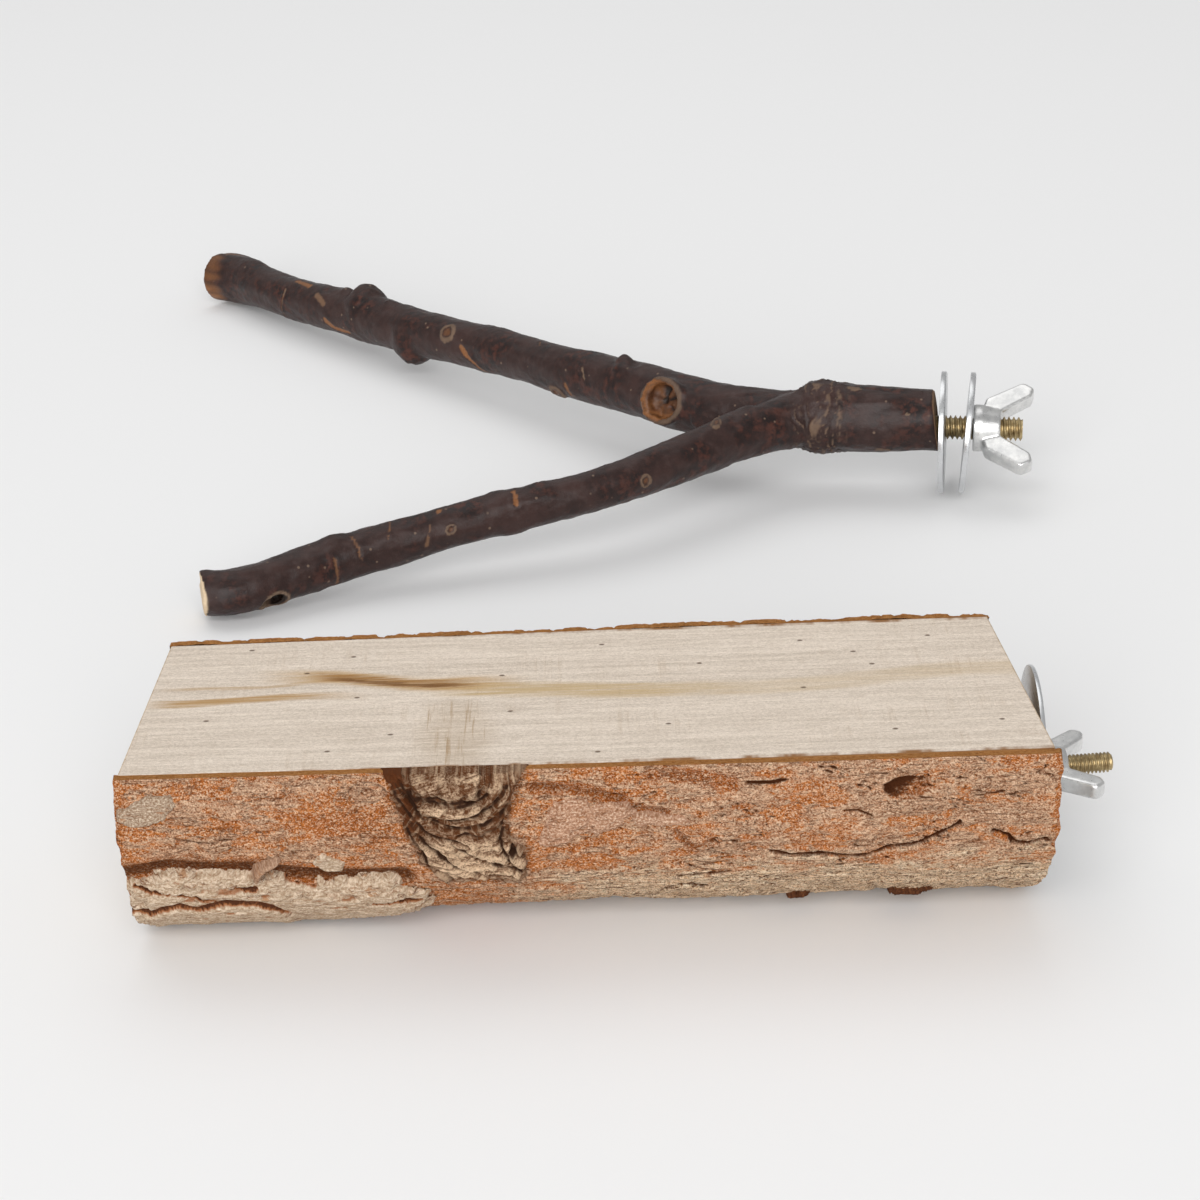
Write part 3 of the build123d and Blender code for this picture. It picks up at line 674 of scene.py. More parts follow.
    # the lines between the folds, each with a raised lip and painted shade in the line
    bent_x, bent_s = x + 0.6 * drift.x, s + 0.7 * drift.y + 0.35 * crumple
    off_fold = min(line_distance(bent_x, bent_s, line) for line in fold_lines)
    cut = ease(0.62, 0.12, off_fold) * (0.55 + 0.45 * ease(-0.3, 0.2, noise.noise(here * 0.6)))
    lift += 0.45 * ease(0.5, 0.9, off_fold) * ease(1.9, 1.1, off_fold) - 0.7 * cut
    pale += 0.12 * ease(0.6, 0.9, off_fold) * ease(1.9, 1.1, off_fold)
    crease = max(crease, cut)
    # a pit on the right, painted dark as shade, with a pale chip in it
    pit = oval(x + 0.25 * (s - 17.0), s, -14.3, 17.0, 1.2, 2.6) + 0.2 * crumple
    lift -= 1.2 * ease(1.0, 0.4, pit)
    crease = max(crease, ease(1.1, 0.6, pit))
    chip = ease(1.0, 0.6, oval(x, s, -12.9, 16.3, 0.9, 1.1) + 0.3 * crumple)
    lift += 0.9 * chip
    pale += 0.8 * chip
    crease *= 1 - chip
    grown_in = ease(-0.5, 1.0, inside)
    vert.co = on_bark(x, s, blend(bark_relief(x, s)[0] - 0.5, lift + 0.15, grown_in))
    vert.co.z = min(vert.co.z, log_height + 0.2 + 0.15 * crumple + 0.8 * boss)
    brown = max(brown, 1 - ease(0.0, 2.5, inside))
    vert[knot_mask] = (max(0.0, min(1.0, pale)), brown, min(1.0, crease), 1.0)
    vert[knot_cloth] = (blend(out, s * 1.3 + 0.3 * x, crown), turn * 8, s * 0.1)
bmesh.ops.delete(knot, geom=bare, context="VERTS")
rim_edges = [edge for edge in knot.edges if edge.is_boundary]
inward = bmesh.ops.extrude_edge_only(knot, edges=rim_edges)
for vert in (v for v in inward["geom"] if isinstance(v, bmesh.types.BMVert)):
    girth = log_girth(vert.co.x)
    if vert.co.z > log_height - 1.0:
        wood_edge = ((girth - bark_depth) ** 2 - (log_height - girth + log_bed) ** 2) ** 0.5
        vert.co.y = max(vert.co.y, 0.1 - wood_edge)
        vert.co.z = log_height + 0.02
    else:
        spoke = Vector((0, vert.co.y, vert.co.z - log_radius + log_bed))
        vert.co -= spoke.normalized() * (spoke.length - log_radius + bark_depth + 0.3)
bmesh.ops.recalc_face_normals(knot, faces=knot.faces[:])
set_on_log(knot)

knot_wood, knot_shader, tone = new_finish("knot_wood", roughness=0.85, specular=0.06)
place = tone.place()
pale_share, brown_share, crease_shade_share = tone.layer("knot_mask").parts()
spread = tone.layer("knot_place", 1)
layers = spread.noise((2.2, 0.3, 1.0), 4.0, 0.65).full()
fibres = spread.noise((0.3, 1.6, 1.0), 4.0, 0.6).full()
grit = place.noise(2.4, 4.0, 0.75).full()
weathered = (pale_share + (grit - 0.5) * 0.45 + (layers - 0.5) * 0.3).step(0.0, 1.0)
knot_colour = coated(
    weathered.mixed((0.145, 0.05, 0.017, 1), (0.82, 0.585, 0.385, 1)),
    (brown_share * (0.45 + grit * 0.5), (0.125, 0.037, 0.012, 1)),
    (layers.step(0.4, 0.0) * 0.7, (0.12, 0.045, 0.018, 1)),
    (fibres.step(0.6, 1.0) * 0.3, (0.80, 0.58, 0.38, 1)),
    (grit.step(0.35, 0.0) * 0.6, (0.10, 0.042, 0.02, 1)),
    # painted shade in the creases, under the burl and in the pit
    ((crease_shade_share + (grit - 0.5) * 0.25).step(0.2, 0.95), (0.05, 0.022, 0.012, 1)),
)
link(knot_shader, "Base Color", knot_colour)
link_relief(knot_shader, layers * 0.6 + fibres * 0.3 + grit * 0.5, 0.8, 0.0005)
finished_piece("log_knot_burl", knot, knot_wood, "log_knot", "log_perch")

# Loose plates of outer bark that still cling to the log: a thick cream one low on the left that curls
# away over a crack, thin tan flakes and a curled strip above it, and pinkish ones right of the knot. Two
# dark scraps hang under the belly. Each is a stack of ragged sheets with its edges tucked into the bark.
plates = bmesh.new()
plate_mask = plates.verts.layers.float_color.new("plate_mask")
plate_cloth = plates.verts.layers.float_vector.new("plate_place")
curl_crack = (
    (-90.0, 32.6), (-85.0, 31.0), (-80.0, 29.4), (-76.5, 30.4), (-70.8, 28.8), (-66.0, 29.2),
    (-61.8, 31.0), (-58.0, 35.4),
)
sheet_cracks = (
    ((-88.0, 25.2), (-81.0, 26.4), (-76.5, 27.2), (-73.0, 28.6)),
    ((-58.6, 24.2), (-56.0, 25.6), (-53.4, 26.2)),
    ((-50.6, 32.4), (-47.6, 32.2)),
    ((-43.0, 31.6), (-37.5, 31.2), (-33.0, 32.0)),
    ((-68.5, 25.4), (-64.6, 25.8)),
)
# brown patches where the outer sheet has gone: x, s, half length, half height
plate_spots = (
    (-70.2, 26.2, 2.8, 0.8), (-78.0, 28.0, 1.5, 0.5), (-63.0, 27.6, 1.0, 0.5), (-47.0, 29.5, 2.0, 0.5),
)
big_plate_sheets, curled_strip_pink = 3, 0.5
# thickness, sheets in the stack, raggedness, cream, pink and dark shares, outline
for thickness, sheets, ragged_by, tints, outline in (
    (1.5, 3, 1.3, (1.0, 0.0, 0.0), (
        (-89.5, 25.0), (-87.7, 24.0), (-82.1, 20.9), (-76.3, 21.4), (-68.8, 22.8), (-65.2, 23.0),
        (-59.7, 23.4), (-55.5, 26.2), (-46.4, 25.8), (-43.1, 25.0), (-37.6, 25.0), (-36.2, 28.4),
        (-31.2, 31.0), (-31.3, 37.0), (-40.0, 43.0), (-47.3, 46.0), (-60.0, 50.0), (-89.5, 50.0))),
    (0.75, 1, 0.5, (0.35, 0.0, 0.0), (
        (-89.6, 6.0), (-86.3, 4.6), (-82.8, 3.2), (-79.0, 3.1), (-77.9, 5.2), (-80.4, 8.0), (-85.2, 9.7),
        (-89.6, 8.6))),
    (0.8, 1, 0.4, (0.95, 0.05, 0.0), (
        (-53.1, 19.2), (-51.1, 16.7), (-46.6, 19.4), (-47.5, 22.0), (-50.6, 22.2))),
    (1.3, 1, 0.2, (0.2, 0.5, 0.38), (
        (-65.4, 23.4), (-64.8, 20.8), (-62.6, 18.8), (-59.6, 17.4), (-59.0, 18.4), (-61.4, 20.2),
        (-62.8, 22.2), (-63.6, 24.2))),
    (1.3, 2, 0.8, (0.15, 0.85, 0.0), (
        (-9.6, 15.8), (-8.4, 10.5), (-6.1, 6.6), (-3.0, 5.6), (0.0, 6.4), (2.2, 9.0), (1.2, 12.5),
        (-2.5, 14.6), (-6.0, 16.4))),
    (0.9, 2, 0.6, (0.15, 0.8, 0.0), (
        (0.5, 8.0), (3.0, 7.2), (8.0, 7.6), (9.6, 9.6), (6.0, 12.6), (2.0, 14.4), (-0.5, 13.0))),
    (0.7, 1, 0.5, (0.15, 0.75, 0.0), (
        (8.5, 10.2), (13.0, 9.6), (18.0, 10.6), (19.5, 12.0), (13.0, 12.6), (9.0, 12.2))),
    (1.2, 2, 1.5, (0.05, 0.2, 0.92), (
        (58.6, 40.6), (61.0, 38.6), (64.0, 39.4), (68.6, 39.0), (67.2, 42.0), (66.0, 45.0),
        (60.5, 45.0))),
    (1.2, 1, 1.2, (0.05, 0.2, 0.92), ((39.6, 41.6), (43.4, 41.0), (43.0, 44.5), (40.2, 45.0))),
):
    lows = [min(point[k] for point in outline) - 1.5 for k in (0, 1)]
    highs = [max(point[k] for point in outline) + 1.5 for k in (0, 1)]
    columns, rows = (math.ceil((high - low) / 0.3) for low, high in zip(lows, highs))
    patch = bmesh.ops.create_grid(plates, x_segments=columns, y_segments=rows, size=1.0)["verts"]
    bare = []
    for vert in patch:
        x, s = (low + (high - low) * (k + 1) / 2 for low, high, k in zip(lows, highs, vert.co))
        here = Vector((x, s, thickness * 5))
        tear = ragged_by * noise.fractal(here * 0.42, 0.8, 2.1, 4)
        inside = inside_of(x, s, outline) + tear
        if inside < -0.7 or x < -half_length - 2.4:
            bare.append(vert)
            continue
        # the stack of sheets, each a little smaller than the one below it
        flaking = rumple(x * 0.20, s * 0.85, 3.3, 0.8, 2.1, 4)
        lift = -0.5 * ease(0.1, -0.4, inside)
        edge = 0.0
        for sheet in range(sheets):
            rag = ragged_by * rumple(x * 0.25, s * 0.5, 20.0 + 7 * sheet, 0.8, 2.1, 4)
            step = inside - 1.5 * sheet + rag * min(1, sheet)
            lift += thickness / sheets * ease(-0.1, 0.3, step)
            edge = max(edge, near(step, -0.15, 0.55))
        lift += (0.2 * flaking + 0.08 * noise.noise(here * 1.9)) * ease(0.0, 1.0, inside)
        # painted shade on the low parts and along the edges of the sheets
        dark_and_shade = max(ease(0.5, 0.85, -flaking) * 0.6, 0.4 * edge)
        # the big plate curls up below its long crack, with painted shade in the gap behind the curl and in the
        # splits, and is worn through in places
        if sheets == big_plate_sheets:
            number = min(len(curl_crack) - 1, max(1, sum(point[0] < x for point in curl_crack)))
            (x0, s0), (x1, s1) = curl_crack[number - 1 : number + 1]
            below = s - s0 - (s1 - s0) * (x - x0) / (x1 - x0) + 0.8 * soft(x * 0.32, 3.0, 2.0)
            curled = ease(-57.0, -61.0, x) * (0.75 + 0.5 * soft(x * 0.25, 1.0, 1.0))
            lift += 0.8 * ease(23.0, 32.0, s) * ease(52.0, 44.0, s)
            lift += curled * 1.3 * ease(0.0, 0.6, below) * ease(15.0, 3.0, below)
            lift -= curled * 0.5 * near(below, -0.3, 0.8)
            dark_and_shade = max(dark_and_shade, curled * 1.3 * ease(-0.8, -0.25, below) * ease(0.5, 0.2, below))
            split = min(line_distance(x, s + 0.6 * tear, line) for line in sheet_cracks)
            lift -= 0.8 * ease(0.6, 0.15, split)
            dark_and_shade = max(dark_and_shade, 1.1 * ease(0.65, 0.25, split))
            for x0, s0, half_x, half_s in plate_spots:
                spot = ease(1.1, 0.7, oval(x, s, x0, s0, half_x, half_s) + 0.5 * flaking)
                lift -= 0.35 * spot
                dark_and_shade = max(dark_and_shade, 0.6 * spot)
        elif tints[1] == curled_strip_pink:
            lift += 0.9 * ease(0.0, 0.9, inside)
        under = bark_relief(x, s)[0] * (1 - 0.7 * ease(0.0, 1.0, inside))
        vert.co = on_bark(x, s, lift + under)
        vert[plate_mask] = (tints[0] * (1 - 0.6 * dark_and_shade), tints[1], max(tints[2], min(1.0, dark_and_shade)), 1.0)
        vert[plate_cloth] = (x, s, 0.0)
    bmesh.ops.delete(plates, geom=bare, context="VERTS")
bmesh.ops.reverse_faces(plates, faces=plates.faces[:])
set_on_log(plates)

pale_bark, plate_shader, tone = new_finish("pale_bark", roughness=0.9, specular=0.05)
cream_share, pink_share, dark_and_shade_share = tone.layer("plate_mask").parts()
spread = tone.layer("plate_place", 1)
grain = spread.noise((0.5, 1.9, 1.0), 5.0, 0.65).full()
sand = spread.noise((2.1, 2.7, 1.0), 4.0, 0.7).full()
blotches = spread.noise((0.2, 0.45, 1.0), 4.0, 0.6).full()
hair = spread.noise((0.14, 1.1, 1.0), 3.0, 0.6, 0.8)
creamy = grain.mixed((0.33, 0.225, 0.14, 1), (0.65, 0.515, 0.385, 1))
greyish = sand.mixed((0.25, 0.17, 0.112, 1), (0.46, 0.345, 0.25, 1))
pinkish = (grain * 0.45 + sand * 0.55).mixed((0.25, 0.105, 0.052, 1), (0.61, 0.375, 0.25, 1))
hair_line = abs(hair - 0.5).step(0.02, 0.005) * blotches.step(0.6, 0.2)
torn_and_shade = dark_and_shade_share + (sand - 0.5) * 0.2
plate_colour = coated(
    creamy,
    (cream_share.step(0.9, 0.3), greyish),
    (pink_share.step(0.2, 0.9), pinkish),
    (sand.step(0.42, 0.0) * 0.55, (0.22, 0.11, 0.05, 1)),
    (sand.step(0.6, 1.0) * 0.4, (0.82, 0.70, 0.55, 1)),
    (blotches.step(0.22, 0.0) * grain.step(0.6, 0.1) * 0.5, (0.40, 0.18, 0.075, 1)),
    (hair_line * 0.8, (0.14, 0.055, 0.025, 1)),
    # real brown spots and dark scraps, together with painted shade at the sheet edges and in the cracks
    (torn_and_shade.step(0.25, 0.75), (0.30, 0.115, 0.045, 1)),
    (torn_and_shade.step(0.6, 1.0), (0.07, 0.025, 0.012, 1)),
)
link(plate_shader, "Base Color", plate_colour)
link_relief(plate_shader, sand * 0.4 + grain * 0.5 - hair_line * 0.7, 0.6, 0.0004)
finished_piece("log_loose_plates", plates, pale_bark, "loose_bark_plates", "log_perch")

# Bolts of the clamps: hanger bolts with a coarse wood screw driven into the perch and a rolled machine
# thread standing out of it, in yellow zinc plating. Each is drawn along Z from the perch's end, in mm.


def joint_named(name):
    """The frame's entry for a joint."""
    return next(joint for joint in frame["joints"] if joint["name"] == name)


def clamp_stand(joint_name):
    """Matrix that stands a drawing in mm on a perch's end, with Z along the bolt and X up."""
    joint = joint_named(joint_name)
    along = Vector(joint["axis"]).normalized()
    turn = Matrix((Vector((0, 0, 1)), along.cross(Vector((0, 0, 1))), along)).transposed().to_4x4()
    return Matrix.Translation(joint["pos_m"]) @ turn @ Matrix.Scale(mm, 4)


def rolled_thread(bm, radius, depth, pitch, start, end, tip):
    """A threaded rod. A tip over 0 chamfers its end, one below 0 draws its start to a point."""
    steps, turns = 36, math.ceil((end - start) / pitch) + 2
    root = radius - depth
    profile = ((root, 0.0), (root, 0.16), (radius, 0.44), (radius, 0.56), (root, 0.84), (root, 1.0))
    ring = [bm.verts.new((out, 0, start + (share - 1) * pitch)) for out, share in profile]
    line = [bm.edges.new(pair) for pair in zip(ring, ring[1:])]
    bmesh.ops.spin(
        bm, geom=ring + line, cent=(0, 0, 0), axis=(0, 0, 1), dvec=(0, 0, pitch / steps),
        angle=2 * math.pi * turns, steps=steps * turns,
    )
    bmesh.ops.remove_doubles(bm, verts=bm.verts[:], dist=0.002)
    for height, facing in ((start, -1), (end, 1)):
        everything = bm.verts[:] + bm.edges[:] + bm.faces[:]
        bmesh.ops.bisect_plane(
            bm, geom=everything, plane_co=(0, 0, height), plane_no=(0, 0, facing), clear_outer=True
        )
        bmesh.ops.holes_fill(bm, edges=[edge for edge in bm.edges if edge.is_boundary])
    for vert in bm.verts:
        out = math.hypot(vert.co.x, vert.co.y)
        most = radius - tip + end - vert.co.z if tip > 0 else (vert.co.z - start) * radius / -tip
        if out > most > 0:
            vert.co.x *= most / out
            vert.co.y *= most / out
    bmesh.ops.recalc_face_normals(bm, faces=bm.faces[:])


def hanger_bolt(name, joint_name, radius, pitch, stud_length, screw_length, node, body):
    """Machine thread outside and wood screw inside, joined by a plain shank at the perch's end."""
    bolt = bmesh.new()
    rolled_thread(bolt, radius, 0.56 * pitch, pitch, -0.4, stud_length, 0.55)
    screw = bmesh.new()
    rolled_thread(screw, radius, 0.30 * radius, 0.62 * radius, -screw_length, -3.0, -2.6 * radius)
    shank = bmesh.new()
    upright = Matrix.Translation((0, 0, -1.7))
    neck = radius * 0.93
    bmesh.ops.create_cone(
        shank, cap_ends=True, segments=36, radius1=neck, radius2=neck, depth=2.8, matrix=upright
    )
    for part in (screw, shank):
        mesh = bpy.data.meshes.new("bolt_part")
        part.to_mesh(mesh)
        part.free()
        bolt.from_mesh(mesh)
        bpy.data.meshes.remove(mesh)
    for face in bolt.faces:
        face.smooth = len(face.verts) == 4 and abs(face.normal.z) < 0.9
    bmesh.ops.transform(bolt, matrix=clamp_stand(joint_name), verts=bolt.verts[:])
    return finished_piece(name, bolt, yellow_zinc, node, body)


yellow_zinc, zinc_shader, tone = new_finish("yellow_zinc", roughness=0.34, metal=1.0)
place = tone.place()
stains = place.noise(0.55, 3.0, 0.6)
specks = place.noise(3.6, 3.0, 0.7)
brass = stains.step(0.35, 0.68).mixed((0.30, 0.215, 0.105, 1), (0.55, 0.43, 0.235, 1))
brass = coated(brass, (specks.step(0.52, 0.70) * 0.5, (0.20, 0.135, 0.07, 1)))
link(zinc_shader, "Base Color", brass)
link(zinc_shader, "Roughness", 0.26 + specks * 0.28)
# radius, pitch, length of the stud and of the wood screw
for name, joint_name, sizes, node, body in (
    ("log_bolt", "log_nut_spin", (2.1, 0.794, 19.5, 28.0), "log_hanger_bolt", "log_perch"),
    ("branch_bolt", "branch_nut_spin", (3.175, 1.27, 21.6, 24.0), "branch_hanger_bolt", "branch_perch"),
):
    hanger_bolt(name, joint_name, *sizes, node, body)

# Washers of the clamps: stamped from zinc-plated sheet, so one edge is rolled over by the die and the
# other is crisp. The inner ones lie on the perch's end, the outer ones hang loose and lean on the bolt.


def stamped_washer(name, node, body, joint_name, hole, rim, thickness):
    """A washer spun from its section, in the place and lean of its node; hole and rim are radii."""
    along = Vector(joint_named(joint_name)["axis"])
    facing = Vector((0, 0, 0))
    for face in frame["nodes"][node].data.polygons:
        if face.normal.dot(along) > 0.9:
            facing += face.normal * face.area
    low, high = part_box(node)
    half = thickness / 2
    section = (
        (hole, -half + 0.08), (hole + 0.08, -half), (rim - 0.12, -half), (rim - 0.03, -half + 0.04),
        (rim, -half + 0.14), (rim, half - 0.42), (rim - 0.05, half - 0.26), (rim - 0.18, half - 0.10),
        (rim - 0.42, half - 0.02), (rim - 0.75, half), (hole + 0.3, half), (hole + 0.06, half - 0.06),
        (hole, half - 0.22),
    )
    washer = bmesh.new()
    ring = [washer.verts.new((out, 0, rise)) for out, rise in section]
    line = [washer.edges.new(pair) for pair in zip(ring, ring[1:] + ring[:1])]
    bmesh.ops.spin(
        washer, geom=ring + line, cent=(0, 0, 0), axis=(0, 0, 1), angle=2 * math.pi, steps=120,
        use_merge=True,
    )
    bmesh.ops.recalc_face_normals(washer, faces=washer.faces[:])
    for face in washer.faces:
        face.smooth = True
    stand = Matrix.Translation((low + high) / 2) @ facing.to_track_quat("Z", "Y").to_matrix().to_4x4()
    bmesh.ops.transform(washer, matrix=stand @ Matrix.Scale(mm, 4), verts=washer.verts[:])
    for edge in washer.edges:
        edge.smooth = edge.calc_face_angle(0) < 0.7
    return finished_piece(name, washer, bright_zinc, node, body)


bright_zinc, zinc_shader, tone = new_finish("bright_zinc", roughness=0.24, metal=1.0)
place = tone.place()
clouds = place.noise(0.22, 4.0, 0.6)
scuffs = place.stretched(1.0, 0.25, 0.9).noise(2.6, 4.0, 0.7)
spangle = place.cells(0.9, 1).parts()[0]
zinc = (clouds * 0.6 + spangle * 0.25).mixed((0.60, 0.61, 0.62, 1), (0.80, 0.81, 0.815, 1))
zinc = coated(zinc, (scuffs.step(0.56, 0.72) * 0.35, (0.46, 0.465, 0.47, 1)))
link(zinc_shader, "Base Color", zinc)
link(zinc_shader, "Roughness", 0.16 + clouds * 0.12 + scuffs * 0.14)
# radius of the hole, radius of the rim, thickness
small_sizes, log_sizes, branch_sizes = (2.45, 11.0, 1.0), (2.45, 21.2, 1.0), (4.675, 16.0, 1.5)
for name, node, body, joint_name, sizes in (
    ("log_washer_inner", "log_inner_washer", "log_perch", "log_nut_spin", small_sizes),
    ("log_washer_outer", "log_outer_washer", "log_clamp_washer", "log_nut_spin", log_sizes),
    ("branch_washer_inner", "branch_inner_washer", "branch_perch", "branch_nut_spin", branch_sizes),
    ("branch_washer_outer", "branch_outer_washer", "branch_clamp_washer", "branch_nut_spin", branch_sizes),
):
    stamped_washer(name, node, body, joint_name, *sizes)

# Wing nuts: forged in one piece, so hub and wings flow into each other, then tumbled and plated in
# bright zinc. Each is a copy of its node with the corners and the root of the wings worked soft.


def worked_copy(node, voxel, passes):
    """A node's solid as one even skin of small faces, smoothed over the given passes."""
    solid = bmesh.new()
    solid.from_mesh(frame["nodes"][node].data)
    bmesh.ops.remove_doubles(solid, verts=solid.verts[:], dist=1e-6)
    mesh = bpy.data.meshes.new(node + "_solid")
    solid.to_mesh(mesh)
    solid.free()
    blank = bpy.data.objects.new(node + "_solid", mesh)
    bpy.context.scene.collection.objects.link(blank)
    remesh = blank.modifiers.new("even_skin", "REMESH")
    remesh.mode = "VOXEL"
    remesh.voxel_size = voxel * mm
    skin = bpy.data.meshes.new_from_object(blank.evaluated_get(bpy.context.evaluated_depsgraph_get()))
    worked = bmesh.new()
    worked.from_mesh(skin)
    bpy.data.objects.remove(blank)
    bpy.data.meshes.remove(mesh)
    bpy.data.meshes.remove(skin)
    for _ in range(passes):
        bmesh.ops.smooth_vert(
            worked, verts=worked.verts[:], factor=0.5, use_axis_x=True, use_axis_y=True, use_axis_z=True
        )
    for face in worked.faces:
        face.smooth = True
    return worked


nut_zinc, nut_shader, tone = new_finish("nut_zinc", roughness=0.2, metal=1.0)
place = tone.place()
clouds = place.noise(0.30, 4.0, 0.6)
tumbling = place.noise(1.5, 4.0, 0.65)
zinc = clouds.step(0.3, 0.7).mixed((0.62, 0.62, 0.615, 1), (0.80, 0.795, 0.78, 1))
zinc = coated(zinc, (tumbling.step(0.58, 0.74) * 0.3, (0.56, 0.555, 0.54, 1)))
link(nut_shader, "Base Color", zinc)
link(nut_shader, "Roughness", 0.2 + tumbling * 0.2)
link_relief(nut_shader, tumbling, 0.12, 0.0003)
# size of the small faces in mm, passes of smoothing
for name, voxel, passes, node, body in (
    ("log_nut", 0.2, 10, "log_wing_nut", "log_clamp_nut"),
    ("branch_nut", 0.24, 7, "branch_wing_nut", "branch_clamp_nut"),
):
    finished_piece(name, worked_copy(node, voxel, passes), nut_zinc, node, body)

# Forked branch: a natural fork of fruit wood with its thin, dark, satiny bark left on, sawn to length.
# The skin is a copy of the node worked over with the lumps, scars, wrinkles and knot holes of growth.
# A place on a limb is t along it from the fork, in mm, and the angle round it from straight up.
trunk_length, stud_drop = 31.2, 1.9
clamp_joint = joint_named("branch_nut_spin")
trunk_way = Vector(clamp_joint["axis"]).normalized()
fork = Vector(clamp_joint["pos_m"]) + Vector((0, 0, stud_drop * mm)) - trunk_way * trunk_length * mm
branch = worked_copy("forked_branch", 0.62, 3)
limb_ways = [Matrix.Rotation(math.radians(turn), 3, "Z") @ -trunk_way for turn in (32.5, -34.7)]
limb_lengths = (172.3, 246.4)
slice_length = 3
fork_depth = 4


def limb_heart(way):
    """Middle of a limb, slice by slice from the fork, from the mean of the skin round it."""
    slices = {}
    for vert in branch.verts:
        out = (vert.co - fork) / mm
        if out.dot(way) > 15 and out.normalized().dot(way) > 0.8:
            slices.setdefault(int(out.dot(way) / slice_length), []).append(out)
    means = {k: sum(ring, Vector()) / len(ring) for k, ring in slices.items()}
    first, last = min(means), max(means) - 1
    return [means[max(first, min(last, k))] * (1 if k >= first else k / first) for k in range(last + 2)]


limb_hearts = [limb_heart(way) for way in limb_ways]
# lumps: limb, t, angle, radius, height
branch_lumps = (
    (0, 137.9, -7, 5.0, 0.7), (0, 95.9, -3, 4.0, 0.5), (0, 85.3, 3, 5.0, 0.6), (0, 93.6, 152, 5.0, 0.5),
    (0, 24.5, 151, 2.6, 1.0), (0, 21.8, 15, 4.0, 0.6), (0, 33.0, 15, 2.0, 0.5), (1, 173.9, -9, 6.0, 0.9),
    (1, 159.5, 12, 3.6, 0.9), (1, 181.5, 2, 3.4, 0.7), (1, 147.0, 156, 6.0, 1.0), (1, 60.6, 0, 3.4, 1.4),
    (1, 55.5, 8, 3.0, -0.6), (1, 129.3, 48, 3.4, 0.5), (1, 82.5, 135, 4.0, 0.7), (1, 230.0, 10, 7.0, 0.5),
    (1, 115.0, -20, 8.0, 0.5), (1, 98.0, 158, 9.0, -0.4),
)
# scratches and leaf scars: limb, start t and angle, end t and angle, half width, orange share, depth
branch_scars = (
    (0, 140.3, 58, 139.8, 140, 0.55, 0.5, 0.25), (0, 134.3, 14, 133.6, 78, 0.5, 0.5, 0.2),
    (0, 124.0, 2, 126.1, 50, 0.4, 0.5, 0.2), (0, 115.4, 44, 116.4, 76, 0.35, 0.4, 0.15),
    (0, 116.6, 80, 117.0, 92, 0.8, 0.4, 0.15), (0, 111.4, 6, 112.0, 16, 0.7, 0.9, 0.2),
    (0, 92.6, 8, 93.3, 52, 0.65, 0.9, 0.3), (1, 205.6, 44, 205.4, 66, 0.5, 0.25, 0.2),
    (1, 205.4, 66, 207.6, 150, 0.35, 0.4, 0.15), (1, 203.5, 10, 196.5, 20, 1.1, 0.8, 0.15),
    (1, 190.5, 40, 186.0, 58, 1.3, 0.35, 0.1), (1, 184.5, 98, 181.0, 112, 1.0, 0.9, 0.15),
    (1, 181.0, 112, 174.0, 122, 0.8, 0.9, 0.1), (1, 122.5, 76, 120.0, 96, 1.1, 0.9, 0.15),
    (1, 120.0, 96, 112.7, 150, 0.6, 0.9, 0.15), (1, 94.4, 4, 93.0, 18, 0.5, 0.5, 0.2),
    (1, 71.6, 50, 69.8, 72, 0.5, 0.2, 0.2), (1, 77.0, 96, 75.5, 124, 0.8, 0.6, 0.1),
)
# buds that died: limb, t, angle, radius
branch_buds = (
    (0, 58.8, 81, 1.5), (0, 33.0, 15, 1.7), (1, 129.3, 48, 2.6), (1, 82.5, 135, 2.6), (0, 110.6, 69, 1.2),
)
# pale patches of the trunk: distance to the fork, angle, half length, half height
trunk_patches = ((16.3, 138, 3.0, 1.3), (8.4, 9, 2.6, 1.6), (23.0, 60, 0.8, 0.6))
knot_hole, tip_hole = (1, 39.6, 71), (0, 156.6, 129)


def limb_gap(here, t, angle):
    """Way along and round a limb to here, which is a t, an angle and a radius, from another place."""
    turn = (here[1] - angle + 180) % 360 - 180
    return here[0] - t, math.radians(turn) * here[2]


